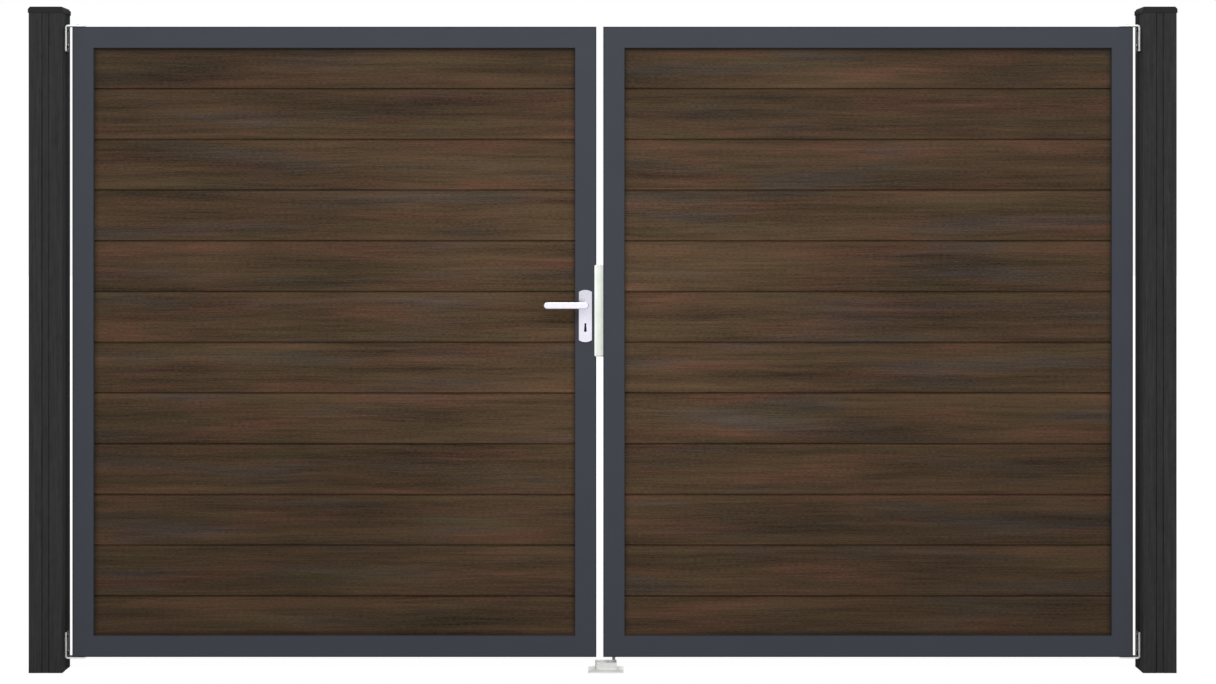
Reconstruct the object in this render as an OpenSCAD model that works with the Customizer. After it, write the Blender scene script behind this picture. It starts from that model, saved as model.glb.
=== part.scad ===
// Composite double gate: two slotted posts, two framed leaves filled with grooved boards,
// a lock with levers on the left leaf and a drop bolt on the right leaf.
// X runs to the right, Y away from the front, Z up. The origin is on the ground,
// midway between the posts and in the middle of their depth.

/* [Opening] */
// Clear width between the posts' inner faces
opening_w = 3072; // [2400:1:4000]
// Height of each leaf
leaf_h = 1800; // [1500:1:2200]
// Height of the leaves' lower edges above the ground
ground_gap = 40; // [36:1:90]
// Gap between a post and the leaf's hinge edge
hinge_gap = 21.7; // [20:0.1:40]
// Gap between the two meeting edges
meeting_gap = 19.7; // [18:0.1:30]
// Distance of that gap's middle to the left of the opening's middle
meeting_shift = 8.2; // [0:0.1:100]

/* [Posts] */
// Side of the square post profile
post_w = 96; // [90:1:120]
// Height of the post profile's end above the leaves
post_rise = 37; // [20:1:200]
// Wall of the post profile
post_wall = 4; // [3:0.5:5]
// Outer corner radius of the post profile
post_corner_r = 2; // [1:0.5:3.5]
// Width of the slot along each side of the post
slot_w = 19; // [17:0.5:24]
// Depth of that slot
slot_d = 14; // [12:0.5:16]
// Wall beside and behind the slot
slot_wall = 3.5; // [2.5:0.5:4.5]
// Wall of the steel core tube
core_wall = 3; // [2:0.5:5]
// Gap between the core tube and the slots' floors
core_clear = 0.5; // [0.2:0.1:0.9]
// Thickness of the cover strip's face
strip_t = 3; // [2:0.5:4]
// Depth of the cover strip's legs, with its face
strip_d = 10; // [6:0.5:12]
// Gap at each side of the cover strip
strip_clear = 0.5; // [0.2:0.1:0.9]
// Distance of the strip's face behind the post's face
strip_sink = 0.6; // [0:0.1:2]

/* [Post caps] */
// Overhang of the cap past the post
cap_overhang = 1.7; // [0.5:0.1:6]
// Height of the cap
cap_h = 18; // [14:1:30]
// Wall of the cap's top
cap_top_t = 4; // [3:0.5:6]
// Width of the bevel round the cap's top
cap_bevel_w = 5; // [2:0.5:6]
// Height of that bevel
cap_bevel_h = 7; // [3:0.5:9]
// Depth of the cap's pegs inside the post
cap_peg_d = 24; // [10:1:60]
// Gap between a peg and the post's wall
cap_peg_clear = 0.4; // [0.2:0.1:0.9]

/* [Hinges] */
// Distance of the pivot axis from the leaf's hinge edge
pivot_inset = 11; // [10.5:0.1:14]
// Diameter of the pivot pin
pivot_d = 10; // [8:0.5:11]
// Radial running clearance of the pivot pin
pivot_clear = 0.05; // [0.02:0.01:0.1]
// Depth of the pivot pin in the leaf
pivot_engage = 45; // [25:1:80]
// Diameter of the pivot pin's head
pivot_head_d = 18; // [14:0.5:22]
// Height of the pivot pin's head
pivot_head_h = 2.5; // [1.5:0.1:4]
// Thickness of the bracket
bracket_t = 5; // [4:0.1:6]
// Width of the bracket
bracket_w = 30; // [24:1:40]
// Length of the bracket's leg on the post
bracket_leg = 76; // [74:1:110]
// Length of the bracket's other leg past the pivot axis
bracket_past = 23.3; // [15:0.1:40]
// Outer radius of the bracket's bend
bracket_bend_r = 8; // [6.5:0.1:12]
// Gap between a bracket and the leaf's edge
bracket_gap = 1; // [0.8:0.1:2]
// Gap left between the thrust washer and the leaf
washer_gap = 0.2; // [0.1:0.05:0.4]
// Width of the thrust washer's ring
washer_ring = 4.5; // [3:0.5:5]
// Diameter of the bracket bolts
bolt_d = 8; // [6:0.5:9]
// Diameter of their button heads
bolt_head_d = 15; // [13:0.5:18]
// Height of their button heads
bolt_head_h = 3.6; // [2.5:0.1:3.8]
// Distance of the first bolt from the bracket's bend
bolt_first = 16; // [14:0.5:20]
// Distance between the two bolts of a bracket
bolt_pitch = 46; // [30:0.5:50]
// Length of the bolt's tip inside the core tube
bolt_tip = 3; // [1:0.5:12]
// Radial clearance of a screw or bolt in its own hole
screw_clear = 0.05; // [0.02:0.01:0.2]
// Radial clearance of the wide holes round bolts and pins
wide_clear = 1; // [0.5:0.1:2]

/* [Leaf frame] */
// Visible width of the frame profile
frame_w = 61.5; // [60:0.1:75]
// Thickness of the frame profile
leaf_t = 40; // [38:0.5:44]
// Wall of the frame profile
frame_wall = 2.2; // [1.8:0.1:2.6]
// Outer corner radius of the frame profile
frame_r = 2; // [1:0.5:2.5]
// Depth of the channel that holds the boards
channel_d = 12; // [10:0.5:13]
// Length of a corner block's arms
block_arm = 95; // [80:1:140]
// Gap between a corner block and the frame profile
block_clear = 0.3; // [0.1:0.05:0.6]

/* [Boards] */
// Thickness of a board
board_t = 20; // [18:0.5:24]
// Height from one board joint to the next
board_pitch = 145; // [110:1:180]
// Height of the lowest board joint above the leaf's lower edge
first_joint = 172.4; // [120:0.1:190]
// Height of the groove that shows between two boards
groove_h = 5; // [3:0.5:8]
// Chamfer along the boards' edges
board_chamfer = 1; // [0.5:0.1:2]
// Thickness of the tongue
tongue_t = 7; // [5:0.5:9]
// Depth of the tongue inside the next board
tongue_in = 7; // [5:0.5:10]
// Gap at each side of the tongue
tongue_clear = 0.4; // [0.2:0.1:0.8]
// Gap at each side of a board in the frame's channel
board_clear = 0.4; // [0.2:0.1:0.8]
// Room for expansion at a board's ends
board_end_gap = 2; // [1:0.1:4]

/* [Lock case] */
// Height of the lever's axis above the leaf's lower edge
hub_h = 1006; // [700:1:1200]
// Distance of the lever's axis from the leaf's meeting edge
backset = 31.2; // [30:0.1:33]
// Depth of the lock case behind the leaf's edge
case_d = 44; // [43:0.1:46.5]
// Thickness of the lock case
case_t = 16; // [15:0.5:18]
// Wall of the lock case
case_wall = 1.5; // [1:0.1:2]
// Height of the case's top above the lever's axis
case_top = 29.5; // [28:0.5:32]
// Depth of the case's bottom below the lever's axis
case_low = 84; // [82:0.5:90]
// Thickness of the forend plate on the leaf's edge
forend_t = 3; // [2:0.1:3.5]
// Width of the forend plate
forend_w = 22; // [20:0.5:26]
// Length of the forend plate
forend_l = 200; // [180:1:230]
// Gap between the lock case and its cut-out in the stile
case_clear = 0.4; // [0.2:0.1:1]
// Radius of the follower disc on the spindle
follower_r = 9; // [8:0.5:10]
// Radius of the follower's journals in the case
journal_r = 6; // [5.8:0.1:7]
// Side of the square spindle
spindle_w = 8; // [7:0.5:8]
// Running clearance of the lock's moving pieces
lock_clear = 0.3; // [0.2:0.05:0.5]
// Radial clearance of the lever's turning fits
turn_clear = 0.05; // [0.02:0.01:0.1]

/* [Bolts of the lock] */
// Thickness of the latch bolt and the dead bolt
bolt_t = 11; // [9:0.5:12]
// Height of the latch bolt
latch_h = 16; // [12:0.5:16]
// Length of the latch bolt
latch_l = 44; // [42:0.5:45]
// How far the latch bolt stands out of the forend
latch_out = 11; // [8:0.1:11.5]
// Height of the latch bolt's lower side above the lever's axis
latch_z = 11; // [10.5:0.5:12]
// Height of the dead bolt
dead_h = 24; // [18:0.5:25]
// Distance of the withdrawn dead bolt's face behind the forend's face
dead_sink = 0.5; // [0.2:0.1:2]
// Depth of the dead bolt's lower side below the lever's axis
dead_z = 46; // [44:0.5:48]
// Throw of the dead bolt
dead_throw = 32; // [20:0.5:33.5]
// Length of the dead bolt that stays behind the forend's face when it is thrown
dead_hold = 11.5; // [10:0.5:13]

/* [Levers and plates] */
// Width of the lock plate
plate_w = 37; // [30:0.5:50]
// Height of the lock plate
plate_h = 148.5; // [146:0.5:180]
// Depth of the plate's middle below the lever's axis
plate_drop = 31.9; // [28:0.1:34]
// Thickness of the plate at its middle
plate_t = 7; // [5:0.5:10]
// Thickness of the plate at its sides
plate_side_t = 4.5; // [3:0.1:4.8]
// Rise of the arched ends of the plate
plate_arch = 5.4; // [1:0.1:8]
// Depth of the keyhole's round part below the lever's axis
key_drop = 55; // [53:0.5:56]
// Radius of the keyhole's round part
key_r = 3; // [2.9:0.1:4.5]
// Height of the keyhole's skirt below that centre
key_skirt = 22; // [16:0.5:24]
// Half the keyhole's width where its skirt begins
key_waist = 2.2; // [2.1:0.1:2.8]
// Half the width of its skirt at the foot
key_foot = 3.9; // [3.5:0.1:5]
// Length of the lever from its axis to its tip
lever_l = 118; // [90:1:140]
// Height of the lever's grip
lever_h = 20; // [18.5:0.5:24]
// Depth of the lever's grip from front to back
lever_t = 11; // [8:0.5:14]
// Room between the plate and the lever's grip
lever_stand = 40; // [30:1:55]
// Diameter of the lever's neck
neck_d = 18; // [16.5:0.5:18]
// Gap between the neck's end and the leaf
neck_gap = 0.8; // [0.5:0.1:2]
// Diameter of the plates' through-screws
plate_screw_d = 4.8; // [4:0.1:5]
// Diameter of their countersunk heads
plate_screw_head_d = 9; // [8:0.5:10]
// Distance of those screws from the plate's ends
plate_screw_edge = 8; // [7:0.5:8.2]

/* [Keep] */
// Height of the keep
keep_h = 262; // [240:1:320]
// Height of the keep's middle above the lever's axis
keep_rise = -17; // [-30:0.5:0]
// Thickness of the keep's sheet
keep_t = 3; // [2:0.1:3.5]
// Distance that the front lip reaches over the left leaf
keep_lap = 5.2; // [0.5:0.1:8]
// Gap between the front lip and the leaves' front faces
keep_gap = 0.5; // [0.3:0.1:2]
// Corner radius of the front lip
keep_corner_r = 5; // [1:0.5:8]
// Distance of the strike plate's back edge from the leaf's back face
keep_back = 2; // [1:0.5:8]
// Room round the dead bolt and the latch bolt in the keep
keep_room = 1.2; // [0.6:0.1:2.5]
// Distance of the keep's screws from its ends
keep_screw_edge = 47; // [14:1:48]
// Diameter of the keep's and the forend's screws
small_screw_d = 4; // [3:0.1:4.5]
// Diameter of the heads of those screws
small_head_d = 7.5; // [6:0.1:8]
// Length of those screws
small_screw_l = 12; // [8:0.5:16]
// Distance of the forend's screws from its ends
forend_screw_edge = 10; // [8:0.5:14]

/* [Drop bolt] */
// Distance of the drop bolt's axis from the right leaf's meeting edge
drop_inset = 30.2; // [28:0.1:33]
// Diameter of the drop bolt's rod
drop_d = 9; // [8:0.5:12]
// Distance of the raised rod's tip below the leaf
drop_tip = 11; // [6:0.5:11.5]
// Travel of the drop bolt
drop_travel = 25; // [10:0.5:25]
// Height of the knob's axis above the leaf's lower edge
knob_h = 300; // [200:1:600]
// Diameter of the knob
knob_d = 24; // [18:0.5:30]
// Length of the knob
knob_l = 14; // [10:0.5:20]
// Diameter of the knob's neck
knob_neck_d = 8; // [6:0.5:9]
// Distance of the knob behind the leaf
knob_stand = 6; // [3:0.5:15]
// Diameter of the knob's stud in the rod
stud_d = 4; // [3:0.5:5]
// Radial running clearance of the rod in its guides
guide_clear = 0.08; // [0.03:0.01:0.1]
// Height of the guide block in the stile
guide_h = 30; // [15:1:60]
// Distance of the guide block above the knob's axis
guide_rise = 45; // [25:1:100]
// Length of rod above the guide block
rod_over = 28; // [27:1:60]

/* [Ground stop] */
// Width of the base
stop_w = 101.7; // [95:0.1:140]
// Depth of the base
stop_d = 80; // [60:1:120]
// Height of the base
stop_h = 7; // [6:0.5:12]
// Height of the base's upright edge
stop_edge = 2.5; // [1:0.5:5]
// Width of the base's slope at the left and right
stop_slope_w = 13; // [5:0.5:18]
// Width of the base's slope at the front and back
stop_slope_d = 10; // [4:0.5:14]
// Distance of the base's middle in front of the leaves' middle
stop_front = 11; // [0:0.5:16]
// Distance from the drop bolt's axis to the base's right side
stop_right = 28.1; // [26:0.1:45]
// Width of the block
block_w = 61.3; // [58:0.1:75]
// Depth of the block
block_d = 51; // [40:1:58]
// Height of the block's top above the ground
block_top = 25; // [16:0.5:27]
// Distance from the drop bolt's axis to the block's right side
block_right = 8.1; // [7.5:0.1:12]
// Distance of the block's middle in front of the leaves' middle
block_front = 4.5; // [0:0.1:8]
// Chamfer round the block's top
block_chamfer = 1.5; // [0.5:0.1:3]
// Room on each side of the rod in the block's square socket
socket_clear = 1.5; // [0.5:0.1:2]
// Radius of the anchor holes
anchor_r = 4.5; // [3:0.5:5]
// Distance between the two anchor holes
anchor_pitch = 26; // [24:0.5:28]
// Distance from the drop bolt's axis to the nearer anchor hole
anchor_near = 15.9; // [13:0.1:18]

/* [Hidden] */
$fn = 64;
post_h = ground_gap + leaf_h + post_rise;
post_x = (opening_w + post_w) / 2;
core_w = post_w - 2 * (slot_d + slot_wall + core_clear);
leaf_mid = ground_gap + leaf_h / 2;
left_x = [-opening_w / 2 + hinge_gap, -meeting_shift - meeting_gap / 2];
right_x = [-meeting_shift + meeting_gap / 2, opening_w / 2 - hinge_gap];
left_w = left_x[1] - left_x[0];
right_w = right_x[1] - right_x[0];
front = leaf_t / 2;
chamber_w = frame_w - channel_d - 2 * frame_wall;
channel_w = board_t + 2 * board_clear;
board_x = frame_w - channel_d + board_end_gap;
board_low = frame_w - channel_d;
board_high = leaf_h - frame_w + channel_d - board_end_gap;
board_count = floor((leaf_h - frame_w - groove_h - first_joint) / board_pitch) + 2;
bracket_reach = hinge_gap + pivot_inset + bracket_past;
bolt_l = bracket_t + slot_d + slot_wall + core_clear + core_wall + bolt_tip;
socket_w = drop_d + 2 * socket_clear;
dead_l = dead_throw + dead_hold - dead_sink;
lever_x = left_x[1] - backset;
lever_z = ground_gap + hub_h;
keep_slots = [[latch_z, latch_h], [-dead_z, dead_h]];
plate_screw_z = plate_h / 2 - plate_screw_edge;
plate_screw_l = leaf_t + plate_t + plate_side_t;
leaf_pieces = ["hinge_stile", "meeting_stile", "top_rail", "bottom_rail", "corner_blocks"];

// A rectangle with round corners, its middle at the origin
module round_rect(w, h, r) {
    square([w - 2 * r, h], center = true);
    square([w, h - 2 * r], center = true);
    for (sx = [-1, 1], sy = [-1, 1]) translate([sx * (w / 2 - r), sy * (h / 2 - r)]) circle(r = r);
}

// A trapezium on a rectangle, its foot on the X axis
module sloped_side(w, h, slope_w, slope_h) {
    half = w / 2;
    polygon([
        [-half, 0], [half, 0], [half, h - slope_h], [half - slope_w, h],
        [-half + slope_w, h], [-half, h - slope_h]
    ]);
}

// A slab on the ground whose upper edges slope on all four sides
module sloped_slab(w, d, h, slope_w, slope_d, slope_h) {
    intersection() {
        rotate([90, 0, 0]) linear_extrude(height = d, center = true) sloped_side(w, h, slope_w, slope_h);
        rotate([90, 0, 90]) linear_extrude(height = w, center = true) sloped_side(d, h, slope_d, slope_h);
    }
}

// A bolt along Z: domed head above the origin, shank below it
module button_bolt(head_d, head_h, shank_d, shank_l) {
    dome_r = (pow(head_d / 2, 2) + pow(head_h, 2)) / (2 * head_h);
    intersection() {
        translate([0, 0, head_h - dome_r]) sphere(r = dome_r);
        cylinder(d = head_d, h = head_h);
    }
    translate([0, 0, -shank_l]) cylinder(d = shank_d, h = shank_l);
}

// A countersunk screw along Z, its flat head's face at the origin
module flat_screw(head_d, shank_d, shank_l) {
    sink = (head_d - shank_d) / 2;
    translate([0, 0, -sink]) cylinder(d1 = shank_d, d2 = head_d, h = sink);
    translate([0, 0, -shank_l]) cylinder(d = shank_d, h = shank_l - sink);
}

// The hole for such a screw, open past the head's face
module flat_screw_hole(head_d, shank_d, shank_l, clear) {
    flat_screw(head_d + 2 * clear, shank_d + 2 * clear, shank_l);
    cylinder(d = head_d + 2 * clear, h = shank_l);
}

// The plain hole of a small screw whose head's face is at the origin
module small_screw_hole() {
    translate([0, 0, -small_screw_l]) cylinder(r = small_screw_d / 2 + screw_clear, h = small_screw_l);
}

// Left side from the post's inner face, with X into the opening, and its mirror image
module at_post(side) {
    if (side < 0) translate([-opening_w / 2, 0, 0]) children();
    else mirror([1, 0, 0]) translate([-opening_w / 2, 0, 0]) children();
}

// The upper end of a leaf, with Z outwards from its edge, and its mirror image below
module at_end(end) {
    translate([0, 0, leaf_mid]) {
        if (end > 0) translate([0, 0, leaf_h / 2]) children();
        else mirror([0, 0, 1]) translate([0, 0, leaf_h / 2]) children();
    }
}

// A leaf's own frame: X from its hinge edge to its meeting edge, Z from its lower edge
module in_leaf(side) {
    if (side < 0) translate([left_x[0], 0, ground_gap]) children();
    else mirror([1, 0, 0]) translate([-right_x[1], 0, ground_gap]) children();
}

// The lock's own frame: origin on the lever's axis, X towards the leaf's meeting edge
module at_lock() {
    translate([lever_x, 0, lever_z]) children();
}

// Turned so that what is built along Z and upwards stands out of a leaf's front (-1) or back (1)
module on_face(side) {
    rotate([side < 0 ? 90 : -90, 0, 0]) children();
}

module post_section() {
    difference() {
        union() {
            difference() {
                round_rect(post_w, post_w, post_corner_r);
                square(post_w - 2 * post_wall, center = true);
            }
            for (turn = [0:90:270]) rotate(turn)
                translate([post_w / 2 - slot_d - slot_wall, -slot_w / 2 - slot_wall])
                    square([slot_d + slot_wall - post_wall / 2, slot_w + 2 * slot_wall]);
        }
        for (turn = [0:90:270]) rotate(turn)
            translate([post_w / 2 - slot_d, -slot_w / 2]) square([slot_d + post_wall, slot_w]);
    }
}

module strip_section() {
    w = slot_w - 2 * strip_clear;
    translate([post_w / 2 - strip_sink - strip_t, -w / 2]) square([strip_t, w]);
    for (side = [-1, 1])
        translate([post_w / 2 - strip_sink - strip_d, side * (w - strip_t) / 2 - strip_t / 2])
            square([strip_d, strip_t]);
}

// Holes along X for the bracket bolts, from the post's face at the origin
module bracket_bolt_holes(r) {
    for (end = [-1, 1], i = [0, 1])
        at_end(end) translate([-post_w / 2, 0, bracket_gap + bracket_t - bolt_first - i * bolt_pitch])
            rotate([0, 90, 0]) cylinder(r = r, h = post_w / 2 + 2 * bracket_t);
}

module post(side) {
    color("#333333") difference() {
        translate([side * post_x, 0, 0]) linear_extrude(height = post_h) post_section();
        at_post(side) bracket_bolt_holes(bolt_d / 2 + screw_clear);
    }
}

module post_cores() {
    color("#8a8d90") for (side = [-1, 1]) difference() {
        translate([side * post_x, 0, 0]) linear_extrude(height = post_h) difference() {
            square(core_w, center = true);
            square(core_w - 2 * core_wall, center = true);
        }
        at_post(side) bracket_bolt_holes(bolt_d / 2 + screw_clear);
    }
}

module post_cover_strips() {
    color("#2e2e2e") for (side = [-1, 1]) difference() {
        for (turn = [0:90:270])
            translate([side * post_x, 0, 0]) rotate(turn) linear_extrude(height = post_h) strip_section();
        at_post(side) bracket_bolt_holes(bolt_d / 2 + wide_clear);
    }
}

module post_cap(side) {
    cap_w = post_w + 2 * cap_overhang;
    inner = post_w - 2 * post_wall;
    peg_low = core_w / 2 + wide_clear;
    peg_w = inner / 2 - cap_peg_clear - peg_low;
    color("#303030") translate([side * post_x, 0, post_h]) {
        difference() {
            sloped_slab(cap_w, cap_w, cap_h, cap_bevel_w, cap_bevel_w, cap_bevel_h);
            translate([-inner / 2, -inner / 2, -cap_top_t]) cube([inner, inner, cap_h]);
        }
        for (turn = [0:90:270]) rotate(turn)
            translate([peg_low, peg_low, -cap_peg_d]) cube([peg_w, peg_w, cap_peg_d + cap_h - cap_top_t]);
    }
}

module bracket_section() {
    r = bracket_bend_r;
    translate([r, -r]) intersection() {
        difference() {
            circle(r = r);
            circle(r = r - bracket_t);
        }
        translate([-r, 0]) square(r);
    }
    translate([0, -bracket_leg]) square([bracket_t, bracket_leg - r]);
    translate([r, -bracket_t]) square([bracket_reach - r, bracket_t]);
}

module hinge_brackets() {
    color("#2a2a2a") for (side = [-1, 1]) at_post(side) for (end = [-1, 1]) difference() {
        at_end(end) translate([0, 0, bracket_gap + bracket_t])
            rotate([90, 0, 0]) linear_extrude(height = bracket_w, center = true) bracket_section();
        at_end(end) translate([hinge_gap + pivot_inset, 0, 0])
            cylinder(r = pivot_d / 2 + screw_clear, h = 2 * (bracket_gap + bracket_t));
        bracket_bolt_holes(bolt_d / 2 + screw_clear);
    }
}

module pivot_pins() {
    color("#4b4b50") for (side = [-1, 1], end = [-1, 1]) at_post(side) at_end(end)
        translate([hinge_gap + pivot_inset, 0, bracket_gap + bracket_t])
            button_bolt(pivot_head_d, pivot_head_h, pivot_d, bracket_gap + bracket_t + pivot_engage);
}

module bracket_bolts() {
    color("#4b4b50") for (side = [-1, 1], end = [-1, 1], i = [0, 1]) at_post(side) at_end(end)
        translate([bracket_t, 0, bracket_gap + bracket_t - bolt_first - i * bolt_pitch])
            rotate([0, 90, 0]) button_bolt(bolt_head_d, bolt_head_h, bolt_d, bolt_l);
}

module thrust_washers() {
    color("#e8e6df") for (side = [-1, 1]) at_post(side) at_end(-1)
        translate([hinge_gap + pivot_inset, 0, washer_gap]) difference() {
            cylinder(r = pivot_d / 2 + screw_clear + washer_ring, h = bracket_gap - washer_gap);
            translate([0, 0, -bracket_gap]) cylinder(r = pivot_d / 2 + screw_clear, h = 3 * bracket_gap);
        }
}

module frame_section() {
    difference() {
        translate([frame_w / 2, 0]) round_rect(frame_w, leaf_t, frame_r);
        translate([frame_wall, frame_wall - front]) square([chamber_w, leaf_t - 2 * frame_wall]);
        translate([frame_w - channel_d, -channel_w / 2]) square([2 * channel_d, channel_w]);
        for (side = [-1, 1])
            translate([frame_w - channel_d - frame_wall / 2, side * (front + channel_w / 2) / 2])
                translate([0, -(front - channel_w / 2) / 2 + frame_wall])
                    square([channel_d - frame_wall / 2, front - channel_w / 2 - 2 * frame_wall]);
    }
}

// A mitred length of frame profile along Z, its outer edge on the Z axis
module frame_bar(length) {
    intersection() {
        linear_extrude(height = length) frame_section();
        rotate([90, 0, 0]) linear_extrude(height = 2 * leaf_t, center = true)
            polygon([[0, 0], [frame_w, frame_w], [frame_w, length - frame_w], [0, length]]);
    }
}

module pivot_hole(r) {
    translate([pivot_inset, 0, -pivot_engage]) cylinder(r = r, h = leaf_h + 2 * pivot_engage);
}

module rod_hole(leaf_w, r, top) {
    translate([leaf_w - drop_inset, 0, -drop_tip]) cylinder(r = r, h = top + drop_tip);
}

module hinge_stile(side) {
    color("#42464b") in_leaf(side) frame_bar(leaf_h);
}

module left_meeting_stile() {
    color("#464b51") difference() {
        in_leaf(-1) translate([left_w, 0, 0]) mirror([1, 0, 0]) frame_bar(leaf_h);
        at_lock() {
            translate([0, -case_t / 2 - case_clear, -case_low - case_clear])
                cube([2 * backset, case_t + 2 * case_clear, case_top + case_low + 2 * case_clear]);
            rotate([90, 0, 0]) cylinder(d = neck_d, h = 2 * leaf_t, center = true);
            translate([0, 0, -key_drop - key_skirt / 2])
                cube([4 * key_r, 2 * leaf_t, key_skirt + 3 * key_r], center = true);
            plate_screw_holes(2 * leaf_t);
            forend_screw_places() small_screw_hole();
        }
    }
}

module right_meeting_stile() {
    slot_r = knob_neck_d / 2 + wide_clear;
    color("#464b51") difference() {
        in_leaf(1) translate([right_w, 0, 0]) mirror([1, 0, 0]) frame_bar(leaf_h);
        in_leaf(1) translate([right_w - drop_inset, front, knob_h]) {
            for (dz = [0, -drop_travel]) translate([0, 0, dz])
                rotate([90, 0, 0]) cylinder(r = slot_r, h = 4 * frame_wall, center = true);
            translate([-slot_r, -2 * frame_wall, -drop_travel])
                cube([2 * slot_r, 4 * frame_wall, drop_travel]);
        }
        keep_bolt_slots(3 * frame_wall);
        keep_screw_places() small_screw_hole();
    }
}

module top_rail(side, leaf_w) {
    color("#464950") in_leaf(side) difference() {
        translate([0, 0, leaf_h]) rotate([0, 90, 0]) frame_bar(leaf_w);
        pivot_hole(pivot_d / 2 + wide_clear);
    }
}

module bottom_rail(side, leaf_w) {
    color("#3e4148") in_leaf(side) difference() {
        mirror([0, 0, 1]) rotate([0, 90, 0]) frame_bar(leaf_w);
        pivot_hole(pivot_d / 2 + wide_clear);
        if (side > 0) rod_hole(leaf_w, drop_d / 2 + wide_clear, 2 * frame_wall);
    }
}

// One block in the corner of a leaf at the origin, its arms along X and Z
module corner_block() {
    low = frame_wall + block_clear;
    arm_w = chamber_w - 2 * block_clear;
    depth = leaf_t - 2 * (frame_wall + block_clear);
    translate([low, -depth / 2, low]) {
        cube([block_arm, depth, arm_w]);
        cube([arm_w, depth, block_arm]);
    }
}

module corner_blocks(side, leaf_w) {
    color("#9a9c9e") in_leaf(side) difference() {
        for (top = [false, true], far = [false, true])
            translate([far ? leaf_w : 0, 0, top ? leaf_h : 0])
                rotate([0, (top && far) ? 180 : top ? 90 : far ? -90 : 0, 0]) corner_block();
        pivot_hole(pivot_d / 2 + pivot_clear);
        if (side > 0) rod_hole(leaf_w, drop_d / 2 + guide_clear, 2 * block_arm);
    }
}

// Section of a board of shoulder height h, its lower shoulder on the X axis
function board_section(h, grooved, tongued) =
    let (
        t = board_t / 2, c = board_chamfer, g = tongue_t / 2 + tongue_clear,
        tongue_top = h + groove_h + tongue_in, k = tongue_t / 2,
        side = [[t - c, h], [t, h - c], [t, c], [t - c, 0]],
        tongue = tongued ? [[-k, h], [-k, tongue_top], [k, tongue_top], [k, h]] : [],
        groove = grooved ? [[g, 0], [g, tongue_in], [-g, tongue_in], [-g, 0]] : []
    )
    concat(tongue, side, groove, [for (i = [3:-1:0]) [-side[i][0], side[i][1]]]);

// Rows count upwards from 1; the lowest and the highest board are ripped to the frame
module board(side, leaf_w, row) {
    lowest = row == 1;
    highest = row == board_count;
    low = lowest ? board_low : first_joint + (row - 2) * board_pitch + groove_h / 2;
    high = highest ? board_high : first_joint + (row - 1) * board_pitch - groove_h / 2;
    color("#4b3e30") in_leaf(side) translate([board_x, 0, low])
        rotate([90, 0, 90]) linear_extrude(height = leaf_w - 2 * board_x)
            polygon(board_section(high - low, !lowest, !highest));
}

module keyhole_section() {
    circle(r = key_r);
    polygon([
        [-key_waist, 0], [key_waist, 0], [key_foot, -key_skirt + key_r / 2],
        [key_foot - key_r / 2, -key_skirt], [key_r / 2 - key_foot, -key_skirt],
        [-key_foot, -key_skirt + key_r / 2]
    ]);
}

// The keyhole's shape cut along Y at its place in the lock's frame
module keyhole(depth) {
    translate([0, 0, -key_drop]) rotate([90, 0, 0])
        linear_extrude(height = depth, center = true) keyhole_section();
}

module plate_screw_holes(depth) {
    for (end = [-1, 1]) translate([0, 0, end * plate_screw_z - plate_drop]) rotate([90, 0, 0])
        cylinder(r = plate_screw_d / 2 + screw_clear, h = depth, center = true);
}

module forend_screw_places() {
    mid = (case_top - case_low) / 2;
    for (end = [-1, 1])
        translate([backset + forend_t, 0, mid + end * (forend_l / 2 - forend_screw_edge)])
            rotate([0, 90, 0]) children();
}

// A block across the lock for one of its bolts, widened by room on its four sides
module bolt_bar(x0, x1, z, h, room) {
    translate([x0, -bolt_t / 2 - room, z - room]) cube([x1 - x0, bolt_t + 2 * room, h + 2 * room]);
}

module lock_case() {
    mid = (case_top - case_low) / 2;
    color("#a9abad") at_lock() difference() {
        union() {
            translate([backset - case_d, -case_t / 2, -case_low]) cube([case_d, case_t, case_top + case_low]);
            translate([backset, -forend_w / 2, mid - forend_l / 2]) cube([forend_t, forend_w, forend_l]);
        }
        translate([backset - case_d + case_wall, case_wall - case_t / 2, case_wall - case_low])
            cube([case_d - case_wall, case_t - 2 * case_wall, case_top + case_low - 2 * case_wall]);
        rotate([90, 0, 0]) cylinder(r = journal_r + turn_clear, h = 2 * case_t, center = true);
        keyhole(2 * case_t);
        for (slot = keep_slots) bolt_bar(0, 2 * backset, slot[0], slot[1], lock_clear);
        forend_screw_places()
            flat_screw_hole(small_head_d, small_screw_d, small_screw_l, screw_clear);
    }
}

// A lock plate's outline, whose ends are arcs
module lock_plate_outline() {
    arch_r = (pow(plate_w / 2, 2) + pow(plate_arch, 2)) / (2 * plate_arch);
    difference() {
        square([plate_w, plate_h], center = true);
        for (end = [-1, 1]) difference() {
            translate([0, end * plate_h / 2]) square([2 * plate_w, 4 * plate_arch], center = true);
            translate([0, end * (plate_h / 2 - arch_r)]) circle(r = arch_r, $fn = 180);
        }
    }
}

// A lock plate built from its foot on the XY plane, with Z out of the leaf
module lock_plate_blank() {
    crown = plate_t - plate_side_t;
    crown_r = (pow(plate_w / 2, 2) + pow(crown, 2)) / (2 * crown);
    intersection() {
        linear_extrude(height = plate_t) lock_plate_outline();
        translate([0, 0, plate_t - crown_r]) rotate([90, 0, 0])
            cylinder(r = crown_r, h = plate_h, center = true, $fn = 180);
    }
}

// The through-screws' places on the back plate, with Z out of the leaf
module plate_screw_places() {
    for (end = [-1, 1]) translate([0, front + plate_t, end * plate_screw_z - plate_drop])
        on_face(1) children();
}

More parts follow.
